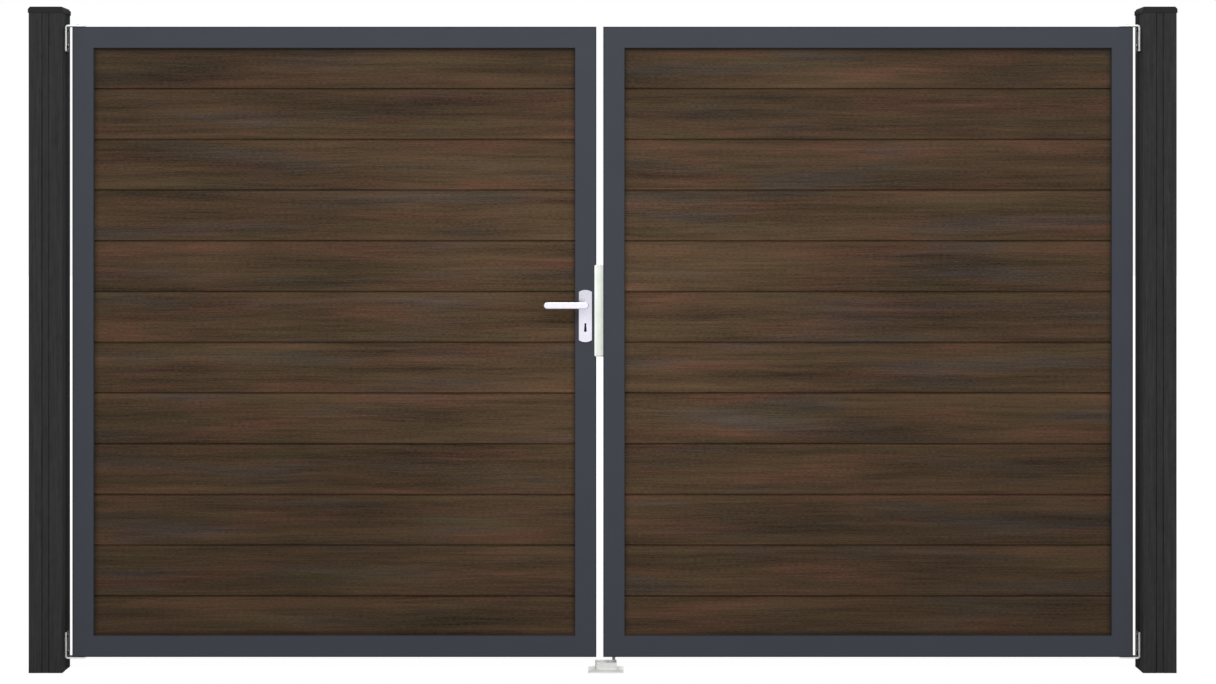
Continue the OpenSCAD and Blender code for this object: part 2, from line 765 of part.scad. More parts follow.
module lock_plate(side) {
    color("#dad8e3") at_lock() difference() {
        translate([0, side * front, -plate_drop]) on_face(side) lock_plate_blank();
        rotate([90, 0, 0]) cylinder(r = neck_d / 2 + turn_clear, h = 4 * leaf_t, center = true);
        keyhole(4 * leaf_t);
        plate_screw_places()
            flat_screw_hole(plate_screw_head_d, plate_screw_d, plate_screw_l, screw_clear);
    }
}

module lock_screws() {
    color("#c5c7c9") at_lock() {
        plate_screw_places() flat_screw(plate_screw_head_d, plate_screw_d, plate_screw_l);
        forend_screw_places() flat_screw(small_head_d, small_screw_d, small_screw_l);
    }
}

// A lever from the leaf's face at the XY plane, with Z out of the leaf and its grip along -X
module lever_blank() {
    grip_z = plate_t + lever_stand;
    r = lever_h / 2;
    socket_w = spindle_w + 2 * turn_clear;
    socket_l = grip_z - lever_stand / 4;
    difference() {
        union() {
            translate([0, 0, neck_gap]) cylinder(d = neck_d, h = grip_z + lever_t / 2 - neck_gap);
            translate([0, 0, grip_z]) linear_extrude(height = lever_t) {
                circle(r = r);
                translate([r - lever_l, 0]) circle(r = r);
                translate([r - lever_l, -r]) square([lever_l - r, lever_h]);
            }
        }
        translate([0, 0, socket_l / 2]) cube([socket_w, socket_w, socket_l], center = true);
    }
}

module lever(side) {
    color("#eceaf2") at_lock() translate([0, side * front, 0])
        on_face(side) lever_blank();
}

module lever_spindle() {
    half = front + plate_t + 3 * lever_stand / 4 - turn_clear;
    color("#b0b2b4") at_lock() {
        cube([spindle_w, 2 * half, spindle_w], center = true);
        rotate([90, 0, 0]) {
            cylinder(r = journal_r, h = case_t, center = true);
            cylinder(r = follower_r, h = case_t - 2 * (case_wall + lock_clear), center = true);
        }
    }
}

module latch_bolt() {
    tip = backset + forend_t + latch_out;
    color("#c3c5c7") at_lock() translate([0, 0, latch_z])
        linear_extrude(height = latch_h) polygon([
            [tip - latch_l, -bolt_t / 2], [tip - latch_out + lock_clear, -bolt_t / 2],
            [tip, bolt_t / 2 - latch_out / 4], [tip, bolt_t / 2], [tip - latch_l, bolt_t / 2]
        ]);
}

module dead_bolt() {
    tip = backset + forend_t - dead_sink;
    color("#bcbec0") at_lock() bolt_bar(tip - dead_l, tip, -dead_z, dead_h, 0);
}

// The two bolts' slots where they meet the right leaf's edge
module keep_bolt_slots(depth) {
    edge_x = backset + meeting_gap;
    at_lock() for (slot = keep_slots)
        bolt_bar(edge_x - keep_t - keep_room, edge_x + depth, slot[0], slot[1], keep_room);
}

module keep_screw_places() {
    at_lock() for (end = [-1, 1])
        translate([backset + meeting_gap - keep_t, 0, keep_rise + end * (keep_h / 2 - keep_screw_edge)])
            rotate([0, -90, 0]) children();
}

module keep() {
    lip_w = keep_lap + meeting_gap;
    color("#dfe3da") difference() {
        at_lock() translate([backset + meeting_gap, 0, keep_rise]) {
            translate([-keep_t, -front - keep_gap - keep_t, -keep_h / 2])
                cube([keep_t, leaf_t + keep_gap + keep_t - keep_back, keep_h]);
            translate([0, -front - keep_gap, 0]) rotate([90, 0, 0]) linear_extrude(height = keep_t)
                intersection() {
                    translate([-lip_w / 2 + keep_corner_r, 0])
                        round_rect(lip_w + 2 * keep_corner_r, keep_h, keep_corner_r);
                    translate([-lip_w, -keep_h / 2]) square([lip_w, keep_h]);
                }
        }
        keep_bolt_slots(0);
        keep_screw_places() flat_screw_hole(small_head_d, small_screw_d, small_screw_l, screw_clear);
    }
}

module keep_screws() {
    color("#c5c7c9") keep_screw_places() flat_screw(small_head_d, small_screw_d, small_screw_l);
}

module drop_bolt_guide() {
    low = frame_wall + block_clear;
    w = chamber_w - 2 * block_clear;
    depth = leaf_t - 2 * low;
    color("#55585a") in_leaf(1) difference() {
        translate([right_w - low - w, -depth / 2, knob_h + guide_rise]) cube([w, depth, guide_h]);
        rod_hole(right_w, drop_d / 2 + guide_clear, leaf_h / 2);
    }
}

module drop_bolt_rod() {
    color("#4b4b50") in_leaf(1) translate([right_w - drop_inset, 0, 0]) difference() {
        translate([0, 0, -drop_tip])
            cylinder(d = drop_d, h = drop_tip + knob_h + guide_rise + guide_h + rod_over);
        translate([0, 0, knob_h]) rotate([90, 0, 0])
            cylinder(r = stud_d / 2 + screw_clear, h = 2 * drop_d, center = true);
    }
}

module drop_bolt_knob() {
    neck = front + knob_stand - drop_d / 2;
    edge_r = knob_l / 4;
    color("#2b2c2e") in_leaf(1) translate([right_w - drop_inset, 0, knob_h]) rotate([-90, 0, 0]) {
        translate([0, 0, -drop_d / 2]) cylinder(d = stud_d, h = drop_d);
        translate([0, 0, drop_d / 2]) cylinder(d = knob_neck_d, h = neck);
        translate([0, 0, front + knob_stand]) rotate_extrude() {
            square([knob_d / 2 - edge_r, knob_l]);
            square([knob_d / 2, knob_l - edge_r]);
            translate([knob_d / 2 - edge_r, knob_l - edge_r]) circle(r = edge_r);
        }
    }
}

module ground_stop() {
    rod_x = right_x[0] + drop_inset;
    color("#d8d8d6") difference() {
        union() {
            translate([rod_x + stop_right - stop_w / 2, -stop_front, 0])
                sloped_slab(stop_w, stop_d, stop_h, stop_slope_w, stop_slope_d, stop_h - stop_edge);
            translate([rod_x + block_right - block_w / 2, -block_front, 0])
                sloped_slab(block_w, block_d, block_top, block_chamfer, block_chamfer, block_chamfer);
        }
        translate([rod_x, 0, 0]) cube([socket_w, socket_w, 3 * block_top], center = true);
        for (i = [0, 1]) translate([rod_x - anchor_near - i * anchor_pitch, -block_front, -block_top])
            cylinder(r = anchor_r, h = 3 * block_top);
    }
}

post(-1);  // post_left
post(1);  // post_right
post_cap(-1);  // post_cap_left
post_cap(1);  // post_cap_right
post_cores();
post_cover_strips();
hinge_brackets();
pivot_pins();
bracket_bolts();
thrust_washers();
ground_stop();
hinge_stile(-1);  // left_hinge_stile
hinge_stile(1);  // right_hinge_stile
left_meeting_stile();
right_meeting_stile();
top_rail(-1, left_w);  // left_top_rail
top_rail(1, right_w);  // right_top_rail
bottom_rail(-1, left_w);  // left_bottom_rail
bottom_rail(1, right_w);  // right_bottom_rail
corner_blocks(-1, left_w);  // left_corner_blocks
corner_blocks(1, right_w);  // right_corner_blocks
for (row = [1:board_count]) {
    board(-1, left_w, row);
    board(1, right_w, row);
}
lock_case();
lock_plate(-1);  // lock_plate_front
lock_plate(1);  // lock_plate_back
lock_screws();
lever(-1);  // lever_front
lever(1);  // lever_back
lever_spindle();
latch_bolt();
dead_bolt();
keep();
keep_screws();
drop_bolt_guide();
drop_bolt_rod();
drop_bolt_knob();
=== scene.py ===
"""Looks of a double driveway gate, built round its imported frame.

Two slotted posts carry two aluminium-framed leaves of dark composite boards. The left leaf holds the
lock with its levers, the right one the keep and the drop bolt, and a ground stop stands below them.

Every length is in metres in the frame's own axes: +X to the right as seen from the front, +Y from the
front to the back, +Z up from the ground. A few small sizes are written in millimetres times MM.
"""

import logging
import math
from dataclasses import dataclass, field
from enum import Enum
from typing import Callable, Sequence

import bmesh
import bpy
from mathutils import Matrix, Vector

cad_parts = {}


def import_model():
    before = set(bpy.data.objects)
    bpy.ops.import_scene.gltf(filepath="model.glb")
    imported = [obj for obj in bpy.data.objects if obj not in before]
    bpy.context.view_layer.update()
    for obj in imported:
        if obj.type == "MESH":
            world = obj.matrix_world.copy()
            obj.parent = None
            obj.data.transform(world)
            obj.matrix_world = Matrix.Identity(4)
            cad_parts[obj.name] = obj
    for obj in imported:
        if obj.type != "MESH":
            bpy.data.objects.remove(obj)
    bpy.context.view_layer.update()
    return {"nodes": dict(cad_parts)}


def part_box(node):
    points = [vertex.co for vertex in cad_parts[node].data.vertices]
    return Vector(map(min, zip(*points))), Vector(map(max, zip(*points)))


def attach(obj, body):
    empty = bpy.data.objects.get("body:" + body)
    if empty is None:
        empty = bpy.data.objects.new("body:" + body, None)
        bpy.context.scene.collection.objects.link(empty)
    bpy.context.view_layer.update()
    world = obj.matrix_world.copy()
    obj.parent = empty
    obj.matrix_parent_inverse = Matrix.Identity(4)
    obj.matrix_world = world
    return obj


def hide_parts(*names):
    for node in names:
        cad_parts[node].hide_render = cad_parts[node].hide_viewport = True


log = logging.getLogger("gate")

MM = 0.001
MERGE = 0.005 * MM
BOARDS_PER_LEAF = 12

Colour = tuple[float, float, float]
Box = tuple[Vector, Vector]
BMesh = bmesh.types.BMesh


class Grain(Enum):
    """The direction in which a surface was drawn, brushed or rolled, as strength along X, Y and Z."""

    ALONG_X = (0.02, 1.0, 1.0)
    ALONG_Z = (1.0, 1.0, 0.02)
    NONE = (1.0, 1.0, 1.0)


class Recess(Enum):
    """The tool's place in the head of a bolt or screw."""

    HEXAGON = "hexagon"
    CROSS = "cross"


class Way(Enum):
    """One of two opposite ways along an axis, by its sign."""

    @property
    def word(self) -> str:
        """The word that stands for it in the names of nodes."""
        return self.name.lower()


class Side(Way):
    """One of the two leaves or posts, by the sign of its place on the X axis."""

    LEFT = -1
    RIGHT = 1


class Face(Way):
    """The front or the back of the lock, by the sign of its place on the Y axis."""

    FRONT = -1
    BACK = 1


# Shader maths


class Value:
    """The output of a shader node, which adds its Math nodes when it is used in an expression."""

    def __init__(self, sheet: "Sheet", socket: bpy.types.NodeSocket) -> None:
        """Keeps the sheet that the node is on and the node's output."""
        self.sheet = sheet
        self.socket = socket

    def _maths(self, operation: str, *terms: "Value | float") -> "Value":
        """Adds a Math node on these terms."""
        return self.sheet.value("ShaderNodeMath", {"operation": operation}, dict(enumerate(terms)))

    def __add__(self, other: "Value | float") -> "Value":
        """Self plus other."""
        return self._maths("ADD", self, other)

    def __sub__(self, other: "Value | float") -> "Value":
        """Self minus other."""
        return self._maths("SUBTRACT", self, other)

    def __rsub__(self, other: "Value | float") -> "Value":
        """Other minus self."""
        return self._maths("SUBTRACT", other, self)

    def __mul__(self, other: "Value | float") -> "Value":
        """Self times other."""
        return self._maths("MULTIPLY", self, other)

    def __truediv__(self, other: "Value | float") -> "Value":
        """Self divided by other."""
        return self._maths("DIVIDE", self, other)

    __radd__ = __add__
    __rmul__ = __mul__

    def floor(self) -> "Value":
        """The whole number below self."""
        return self._maths("FLOOR", self)

    def size(self) -> "Value":
        """Self without its sign."""
        return self._maths("ABSOLUTE", self)

    def most(self, other: "Value | float") -> "Value":
        """The larger of self and other."""
        return self._maths("MAXIMUM", self, other)

    def least(self, other: "Value | float") -> "Value":
        """The smaller of self and other."""
        return self._maths("MINIMUM", self, other)

    def swing(self, strength: float) -> "Value":
        """Noise as a swing about 0 instead of 0.5, with this difference between its ends."""
        return (self - 0.5) * strength

    def above(self, limit: float) -> "Value":
        """1 where self is over the limit, and 0 elsewhere."""
        return self._maths("GREATER_THAN", self, limit)

    def ramp(self, start: float, end: float, low: float = 0.0, high: float = 1.0) -> "Value":
        """A smooth step.

        Args:
            start: The value of self at which the step begins.
            end: The value of self at which it ends.
            low: What the result is before it.
            high: What the result is after it.

        Returns:
            The step as a new value.
        """
        settings = {"interpolation_type": "SMOOTHSTEP"}
        sockets = {0: self, 1: start, 2: end, 3: low, 4: high}
        return self.sheet.value("ShaderNodeMapRange", settings, sockets)


class Sheet:
    """The nodes of one material or world, where every node is added by one method."""

    def __init__(self, owner: bpy.types.Material | bpy.types.World) -> None:
        """Empties the owner's nodes and keeps the owner.

        Args:
            owner: The material or world.
        """
        self.owner = owner
        owner.use_nodes = True
        self.nodes = owner.node_tree.nodes
        self.links = owner.node_tree.links
        self.nodes.clear()

    @classmethod
    def named(cls, name: str) -> "Sheet":
        """The sheet of a new material of this name."""
        return cls(bpy.data.materials.new(name))

    def node(
        self, kind: str, settings: dict | None = None, sockets: dict | None = None
    ) -> bpy.types.Node:
        """Adds a node.

        Args:
            kind: Blender's name of the node's type.
            settings: The node's own settings, set before its sockets.
            sockets: Values, colours or other nodes' outputs by the socket's name or number.

        Returns:
            The new node.
        """
        node = self.nodes.new(kind)
        for name, setting in (settings or {}).items():
            setattr(node, name, setting)
        for name, value in (sockets or {}).items():
            socket = node.inputs[name]
            if isinstance(value, Value):
                self.links.new(value.socket, socket)
            elif socket.type == "RGBA":
                socket.default_value = (*value, 1.0)
            else:
                socket.default_value = value
        return node

    def value(
        self, kind: str, settings: dict | None = None, sockets: dict | None = None, out: int | str = 0
    ) -> Value:
        """Adds a node, as node() does, and gives the output of this name or number."""
        return Value(self, self.node(kind, settings, sockets).outputs[out])

    def place(self) -> Value:
        """The point's place on the piece, in the frame's axes at rest."""
        return self.value("ShaderNodeTexCoord", out="Object")

    def facing(self) -> Value:
        """The direction that the surface faces, in the frame's axes at rest."""
        return self.value("ShaderNodeTexCoord", out="Normal")

    def parts(self, vector: Value) -> tuple[Value, Value, Value]:
        """The X, Y and Z of a vector."""
        node = self.node("ShaderNodeSeparateXYZ", sockets={0: vector})
        return tuple(Value(self, node.outputs[i]) for i in range(3))

    def vector(self, x: Value | float, y: Value | float, z: Value | float) -> Value:
        """A vector of three values."""
        return self.value("ShaderNodeCombineXYZ", sockets={0: x, 1: y, 2: z})

    def stretched(self, vector: Value, scale: Sequence[float]) -> Value:
        """A vector multiplied axis by axis."""
        sockets = {0: vector, 1: tuple(scale)}
        return self.value("ShaderNodeVectorMath", {"operation": "MULTIPLY"}, sockets)

    def noise(
        self, vector: Value, scale: float | Sequence[float], detail: float = 2.0, rough: float = 0.5
    ) -> Value:
        """Soft noise from 0 to 1.

        Args:
            vector: Where the noise is read.
            scale: Its waves per metre along X, Y and Z, or one number for all three.
            detail: How many finer layers it has.
            rough: How strong those are.

        Returns:
            The noise as a value, about 0.5 on average.
        """
        spot = self.stretched(vector, (scale,) * 3 if isinstance(scale, (int, float)) else scale)
        sockets = {"Vector": spot, "Scale": 1.0, "Detail": detail, "Roughness": rough}
        return self.value("ShaderNodeTexNoise", sockets=sockets)

    def mixed(self, share: Value | float, first: Value | Colour, second: Value | Colour) -> Value:
        """A colour between two others, the second where the share is 1."""
        settings = {"data_type": "RGBA", "clamp_factor": True}
        return self.value("ShaderNodeMix", settings, {0: share, 6: first, 7: second}, out=2)

    def toned(self, colour: Value | Colour, tone: Value) -> Value:
        """A colour made lighter or darker.

        Args:
            colour: The colour.
            tone: What it is multiplied by, which is 1 where it stays as it is.

        Returns:
            The new colour.
        """
        settings = {"data_type": "RGBA", "blend_type": "MULTIPLY", "clamp_result": False}
        grey = self.vector(tone, tone, tone)
        return self.value("ShaderNodeMix", settings, {0: 1.0, 6: colour, 7: grey}, out=2)

    def relief(self, height: Value, depth: float) -> Value:
        """The normal of a surface with this height from 0 to 1 and this full depth in metres."""
        sockets = {"Strength": 1.0, "Distance": depth, "Height": height}
        return self.value("ShaderNodeBump", sockets=sockets)

    def surface(self, sockets: dict) -> bpy.types.Material:
        """Ends the sheet with a Principled surface.

        Args:
            sockets: What goes into the surface's sockets, by their names.

        Returns:
            The finished material.
        """
        shader = self.value("ShaderNodeBsdfPrincipled", sockets=sockets)
        self.node("ShaderNodeOutputMaterial", sockets={"Surface": shader})
        return self.owner


# Finishes


@dataclass(frozen=True)
class LeafOutline:
    """Where the two leaves' frames lie, for the painted shade along their edges.

    Attributes:
        middle: The X of the middle of the gap between the leaves.
        inner_x: Half the distance between the leaves' hinge-side board edges.
        meeting_x: From the middle of the gap to the board edges beside it.
        low_z: The frames' inner edge at the bottom.
        high_z: The frames' inner edge at the top.
        width: The frame profile's width.
        middle_z: The leaves' mid-height.
    """

    middle: float = -0.0082
    inner_x: float = 1.4528
    meeting_x: float = 0.07135
    low_z: float = 0.1015
    high_z: float = 1.7785
    width: float = 0.0615
    middle_z: float = 0.940

    def outwards(self, x: Value, z: Value) -> Value:
        """How far a point lies outwards of the frame's inner edge.

        Args:
            x: The point's X.
            z: Its Z.

        Returns:
            The distance, which is below 0 on the boards.
        """
        sides = (x.size() - self.inner_x).most(self.meeting_x - (x - self.middle).size())
        ends = (z - self.high_z).most(self.low_z - z)
        return sides.most(ends)


OUTLINE = LeafOutline()


@dataclass(frozen=True)
class Finish:
    """What all finishes have: the record's slot and the plain colour."""

    slot: str
    colour: Colour

    def make(self) -> bpy.types.Material:
        """Builds the finish as a material."""
        sheet = Sheet.named(self.slot)
        return sheet.surface(self.sockets(sheet, sheet.place()))

    def sockets(self, sheet: Sheet, at: Value) -> dict:
        """What goes into the surface's sockets.

        Args:
            sheet: The sheet of the finish's material.
            at: The point's place on the piece.

        Returns:
            Values, colours and numbers by the sockets' names.
        """
        raise NotImplementedError


@dataclass(frozen=True)
class PowderCoat(Finish):
    """A fine-textured powder coat: tiny grains, a soft satin gleam and a faint cloudiness.

    Painted shade darkens the front and back faces along the leaves' outer edges and along the lip beside
    the boards.

    Attributes:
        gleam: The strength of the gloss.
        lip: The width of the painted shade on the lip beside the boards.
    """

    gleam: float = 0.10
    lip: float = 3.0 * MM

    def sockets(self, sheet: Sheet, at: Value) -> dict:
        """The coat's sockets.

        Args:
            sheet: The sheet of the finish's material.
            at: The point's place on the piece.

        Returns:
            What goes into the surface's sockets, by their names.
        """
        grains = sheet.noise(at, 1400, detail=2)
        clouds = sheet.noise(at, 9, detail=3)
        pits = sheet.noise(at, 420, detail=1)
        x, y, z = sheet.parts(at)
        face = y.size().ramp(16.5 * MM, 17.5 * MM)
        out = OUTLINE.outwards(x, z)
        edge = OUTLINE.width
        # Painted shade: darker rims along the leaves' outer edges and a darker lip beside the boards, on
        # the front and back faces only.
        rim = out.ramp(edge - 6.0 * MM, edge - 3.0 * MM, 0.0, 0.14)
        rim += out.ramp(edge - 3.2 * MM, edge - 1.4 * MM, 0.0, 0.34)
        lip = out.ramp(0.0, self.lip, 0.36, 0.0)
        tone = 1.0 + grains.swing(0.22) + clouds.swing(0.10) - rim.most(lip) * face
        return {
            "Base Color": sheet.toned(self.colour, tone),
            "Roughness": 0.52 + pits.swing(0.22),
            "Specular IOR Level": self.gleam,
            "Normal": sheet.relief(grains + pits * 0.6, 0.10 * MM),
        }


@dataclass(frozen=True)
class BrushedCoat(Finish):
    """The posts' matt coat over an extruded and brushed surface, with fine streaks along one axis.

    Painted shade darkens the seams beside the cover strips and the profile's outer corners. Painted
    light and
    shade lie on the side faces: paler at the front, darker at the back and low down, darkest beside the
    brackets.

    Attributes:
        grain: The direction of the streaks.
        streaks: How strong they are.
        seam: How strong the painted shade in the seams and on the corners is.
        near: The painted shade on a side face at the front; below 0 it is painted light instead.
        far: The painted shade on a side face at the back.
        gleam: The strength of the gloss.
        post_x: The distance of a post's axis from the middle of the opening.
        seam_at: The distance of a seam from the middle of the face.
        half: Half the post's width.
        bracket_z: The distance of a bracket's inner end from the leaf's mid-height.
    """

    grain: Grain = Grain.ALONG_Z
    streaks: float = 1.1
    seam: float = 0.42
    near: float = -0.38
    far: float = 0.34
    gleam: float = 0.02
    post_x: float = 1.584
    seam_at: float = 9.8 * MM
    half: float = 48.0 * MM
    bracket_z: float = 0.78

    def sockets(self, sheet: Sheet, at: Value) -> dict:
        """The coat's sockets.

        Args:
            sheet: The sheet of the finish's material.
            at: The point's place on the piece.

        Returns:
            What goes into the surface's sockets, by their names.
        """
        run = self.grain.value
        coarse = sheet.noise(at, [340 * share for share in run], detail=2)
        fine = sheet.noise(at, [1500 * share for share in run], detail=2)
        broken = sheet.noise(at, (60, 60, 30), detail=3)
        x, y, z = sheet.parts(at)
        outwards = x.size() - self.post_x
        across = outwards.size().least(y.size())
        # Painted shade: dark bands along the seams beside the cover strips and along the profile's outer
        # corners.
        seam = (across - self.seam_at).size().ramp(1.0 * MM, 2.0 * MM, self.seam, 0.0)
        rim = self.half - 2.6 * MM
        corner = outwards.ramp(rim, rim + 2.0 * MM) * y.size().ramp(rim - 4.0 * MM, rim) * self.seam
        # Painted light and shade on the side faces only: paler at the front, darker at the back, low
        # down and beside the brackets.
        sideways, _, _ = sheet.parts(sheet.facing())
        ends = (z - OUTLINE.middle_z).size().ramp(self.bracket_z - 0.05, self.bracket_z, 0.0, 0.20)
        low = z.ramp(0.25, 0.65, 0.12, 0.0)
        depth = y.ramp(-self.half, self.half * 0.7, self.near, self.far)
        painted_side_shade = sideways.size() * (depth + ends + low)
        tone = 1.0 + (coarse.swing(0.9) + fine.swing(0.7) + broken.swing(0.35)) * self.streaks
        return {
            "Base Color": sheet.toned(self.colour, tone - seam - corner - painted_side_shade),
            "Roughness": 0.80 + coarse.swing(0.25),
            "Specular IOR Level": self.gleam,
            "Normal": sheet.relief(fine * 0.6 + coarse * 0.4, 0.12 * MM),
        }


@dataclass(frozen=True)
class CompositeBoard(Finish):
    """Wood-polymer board: brushed lines, soft bands along the board and drifts of hue.

    The figure of each row is read from a place of its own, so that none runs across a joint. Painted
    light and shade lie over it: a paler sheen near the meeting stiles, light in the joints' grooves and
    on each board's upper edge, and shade along the frame, in its corners, low down and near the top
    rail.

    Attributes:
        red: The colour of the warm patches.
        grey: The colour of the cool patches.
        olive: The colour of the greenish patches.
        first_joint: The height of the lowest joint.
        pitch: The height from joint to joint.
        row_step: How much further along the next row's figure is read.
        leaf_step: How much further along the right leaf's figure is read.
        shade: The width of the painted shadow along the frame.
        top_shade: The width of the second painted shadow below the top rail.
    """

    red: Colour = (0.086, 0.040, 0.024)
    grey: Colour = (0.050, 0.040, 0.034)
    olive: Colour = (0.056, 0.039, 0.018)
    first_joint: float = 0.2124
    pitch: float = 0.145
    row_step: float = 3.17
    leaf_step: float = 1.93
    shade: float = 17.0 * MM
    top_shade: float = 28.0 * MM

    def sockets(self, sheet: Sheet, at: Value) -> dict:
        """The board's sockets.

        Args:
            sheet: The sheet of the finish's material.
            at: The point's place on the piece.

        Returns:
            What goes into the surface's sockets, by their names.
        """
        x, y, z = sheet.parts(at)
        rows = (z - self.first_joint) / self.pitch
        row = rows.floor()
        height = rows - row
        leaf = (x - OUTLINE.middle).above(0.0)
        along = x + row * self.row_step + leaf * self.leaf_step
        sway = sheet.noise(sheet.vector(along, z, 0.0), (2.2, 9, 1), detail=1)
        ripple = sheet.noise(sheet.vector(along, z, 4.0), (11, 30, 1), detail=1)
        bent = z + sway.swing(0.022) + ripple.swing(0.004)
        spot = sheet.vector(along, y * 0.2, bent)

        drift = sheet.noise(spot, (1.3, 1, 7), detail=2)
        bands = sheet.noise(spot, (1.3, 1, 40), detail=2)
        reeds = sheet.noise(spot, (3.0, 1, 150), detail=2, rough=0.6)
        lines = sheet.noise(spot, (9, 1, 480), detail=3, rough=0.65)
        grain = sheet.noise(spot, (90, 1, 400), detail=2)
        warm = sheet.noise(sheet.vector(along + 9.0, bent, 0.0), (2.2, 17, 1), detail=2)
        cool = sheet.noise(sheet.vector(along + 23.0, bent, 0.0), (1.7, 13, 1), detail=2)
        green = sheet.noise(sheet.vector(along + 41.0, bent, 0.0), (2.0, 17, 1), detail=2)

        tint = sheet.mixed(warm.ramp(0.46, 0.70) * 0.75, self.colour, self.red)
        tint = sheet.mixed(cool.ramp(0.50, 0.72) * 0.70, tint, self.grey)
        tint = sheet.mixed(green.ramp(0.50, 0.72) * 0.70, tint, self.olive)
        tone = 1.0 + drift.swing(1.40) + bands.swing(1.30) + reeds.swing(0.90)
        # Painted highlight: a light line along each board's upper edge, under the joint above.
        tone += lines.swing(1.75) + grain.swing(1.45) + height.ramp(0.72, 0.98, 0.0, 0.10)
        own = sheet.noise(sheet.vector(row * 7.7, leaf * 5.3, 0.5), (1, 1, 1), detail=0)
        # Painted light: each joint's groove is lightened.
        groove = height.ramp(0.0, 0.022, 0.45, 0.0) + height.ramp(0.978, 1.0, 0.0, 0.45)
        # Painted sheen: paler near the meeting stiles at mid-height.
        paler = (x - OUTLINE.middle).size().ramp(0.15, 0.85, 0.34, 0.0)
        paler *= z.ramp(0.1, 1.05, 0.45, 1.0) * z.ramp(1.15, 1.75, 1.0, 0.0)
        # Painted light and shade by height: lighter across the upper middle, darker low down and near
        # the top.
        high = z.ramp(0.35, 0.85, 0.0, 0.18) - z.ramp(1.35, 1.75, 0.0, 0.08)
        # Painted shadow along the frame's inner edge, and a second one below the top rail.
        edge = OUTLINE.outwards(x, z).ramp(-self.shade, 0.0, 0.0, 0.30)
        edge += z.ramp(OUTLINE.high_z - self.top_shade, OUTLINE.high_z, 0.0, 0.26)
        level = 0.90 + own.swing(0.16) + groove + high + paler - edge
        return {
            "Base Color": sheet.toned(tint, tone * level),
            "Roughness": 0.66 + lines.swing(0.25),
            "Specular IOR Level": 0.12,
            "Normal": sheet.relief(lines * 0.7 + grain * 0.3, 0.30 * MM),
        }


@dataclass(frozen=True)
class SatinMetal(Finish):
    """Bare or anodised metal with fine brush lines along one axis and small differences in gloss.

    Attributes:
        rough: The average roughness.
        grain: The direction of the brush lines.
        brush: How much the lines change the colour.
        cloud: How much soft clouds lighten or darken it.
    """

    rough: float = 0.3
    grain: Grain = Grain.NONE
    brush: float = 0.10
    cloud: float = 0.05

    def tone(self, sheet: Sheet, at: Value) -> Value | float:
        """The share of the colour that shows at a place."""
        return 1.0

    def sockets(self, sheet: Sheet, at: Value) -> dict:
        """The metal's sockets.

        Args:
            sheet: The sheet of the finish's material.
            at: The point's place on the piece.

        Returns:
            What goes into the surface's sockets, by their names.
        """
        lines = sheet.noise(at, [2600 * share for share in self.grain.value], detail=2)
        clouds = sheet.noise(at, 70, detail=3)
        tone = self.tone(sheet, at) + lines.swing(self.brush) + clouds.swing(self.cloud) * 2
        return {
            "Base Color": sheet.toned(self.colour, tone),
            "Metallic": 1.0,
            "Roughness": self.rough + lines.swing(0.16) + clouds.swing(0.14),
            "Normal": sheet.relief(lines, 0.02 * MM),
        }


@dataclass(frozen=True)
class LockAluminium(SatinMetal):
    """The lock's anodised aluminium: the plates are a shade darker than the levers, with painted shade
    deepening upwards.

    Attributes:
        plate_y: Nearer the leaf's middle than this, a point is on a plate or a lever's neck.
        low_z: The height at which the painted shade on the plates begins.
        high_z: The height at which it is deepest.
    """

    plate_y: float = 35.0 * MM
    low_z: float = 0.97
    high_z: float = 1.06

    def tone(self, sheet: Sheet, at: Value) -> Value | float:
        """The share of the colour that shows at a place.

        Args:
            sheet: The sheet of the finish's material.
            at: The point's place on the piece.

        Returns:
            The share as a value or a number.
        """
        _, y, z = sheet.parts(at)
        plate = 1.0 - y.size().above(self.plate_y)
        # The plates are a shade darker all over, and painted shade deepens upwards towards the levers.
        return 1.0 - plate * (0.09 + z.ramp(self.low_z, self.high_z, 0.0, 0.14))


@dataclass(frozen=True)
class KeepSheet(SatinMetal):
    """The keep's pale zinc, with a painted highlight on the lip's left edge and painted shade towards
    the stile.

    Attributes:
        lip_left_x: The lip's left edge.
        stile_x: Where the lip passes over the stile.
        foot_z: The keep's lower end, which is darker.
    """

    lip_left_x: float = -23.25 * MM
    stile_x: float = 1.65 * MM
    foot_z: float = 0.898

    def tone(self, sheet: Sheet, at: Value) -> Value | float:
        """The share of the colour that shows at a place.

        Args:
            sheet: The sheet of the finish's material.
            at: The point's place on the piece.

        Returns:
            The share as a value or a number.
        """
        x, _, z = sheet.parts(at)
        width = self.stile_x - self.lip_left_x
        # Painted highlight on the lip's left edge, and painted shade deepening towards the stile.
        painted_highlight = x.ramp(self.lip_left_x + width * 0.10, self.lip_left_x + width * 0.42, 0.13, 0.0)
        dull = x.ramp(self.lip_left_x + width * 0.45, self.stile_x, 0.0, 0.23)
        foot = z.ramp(self.foot_z + 2.0 * MM, self.foot_z + 5.0 * MM, 0.30, 0.0)
        return 0.92 + painted_highlight - dull - foot


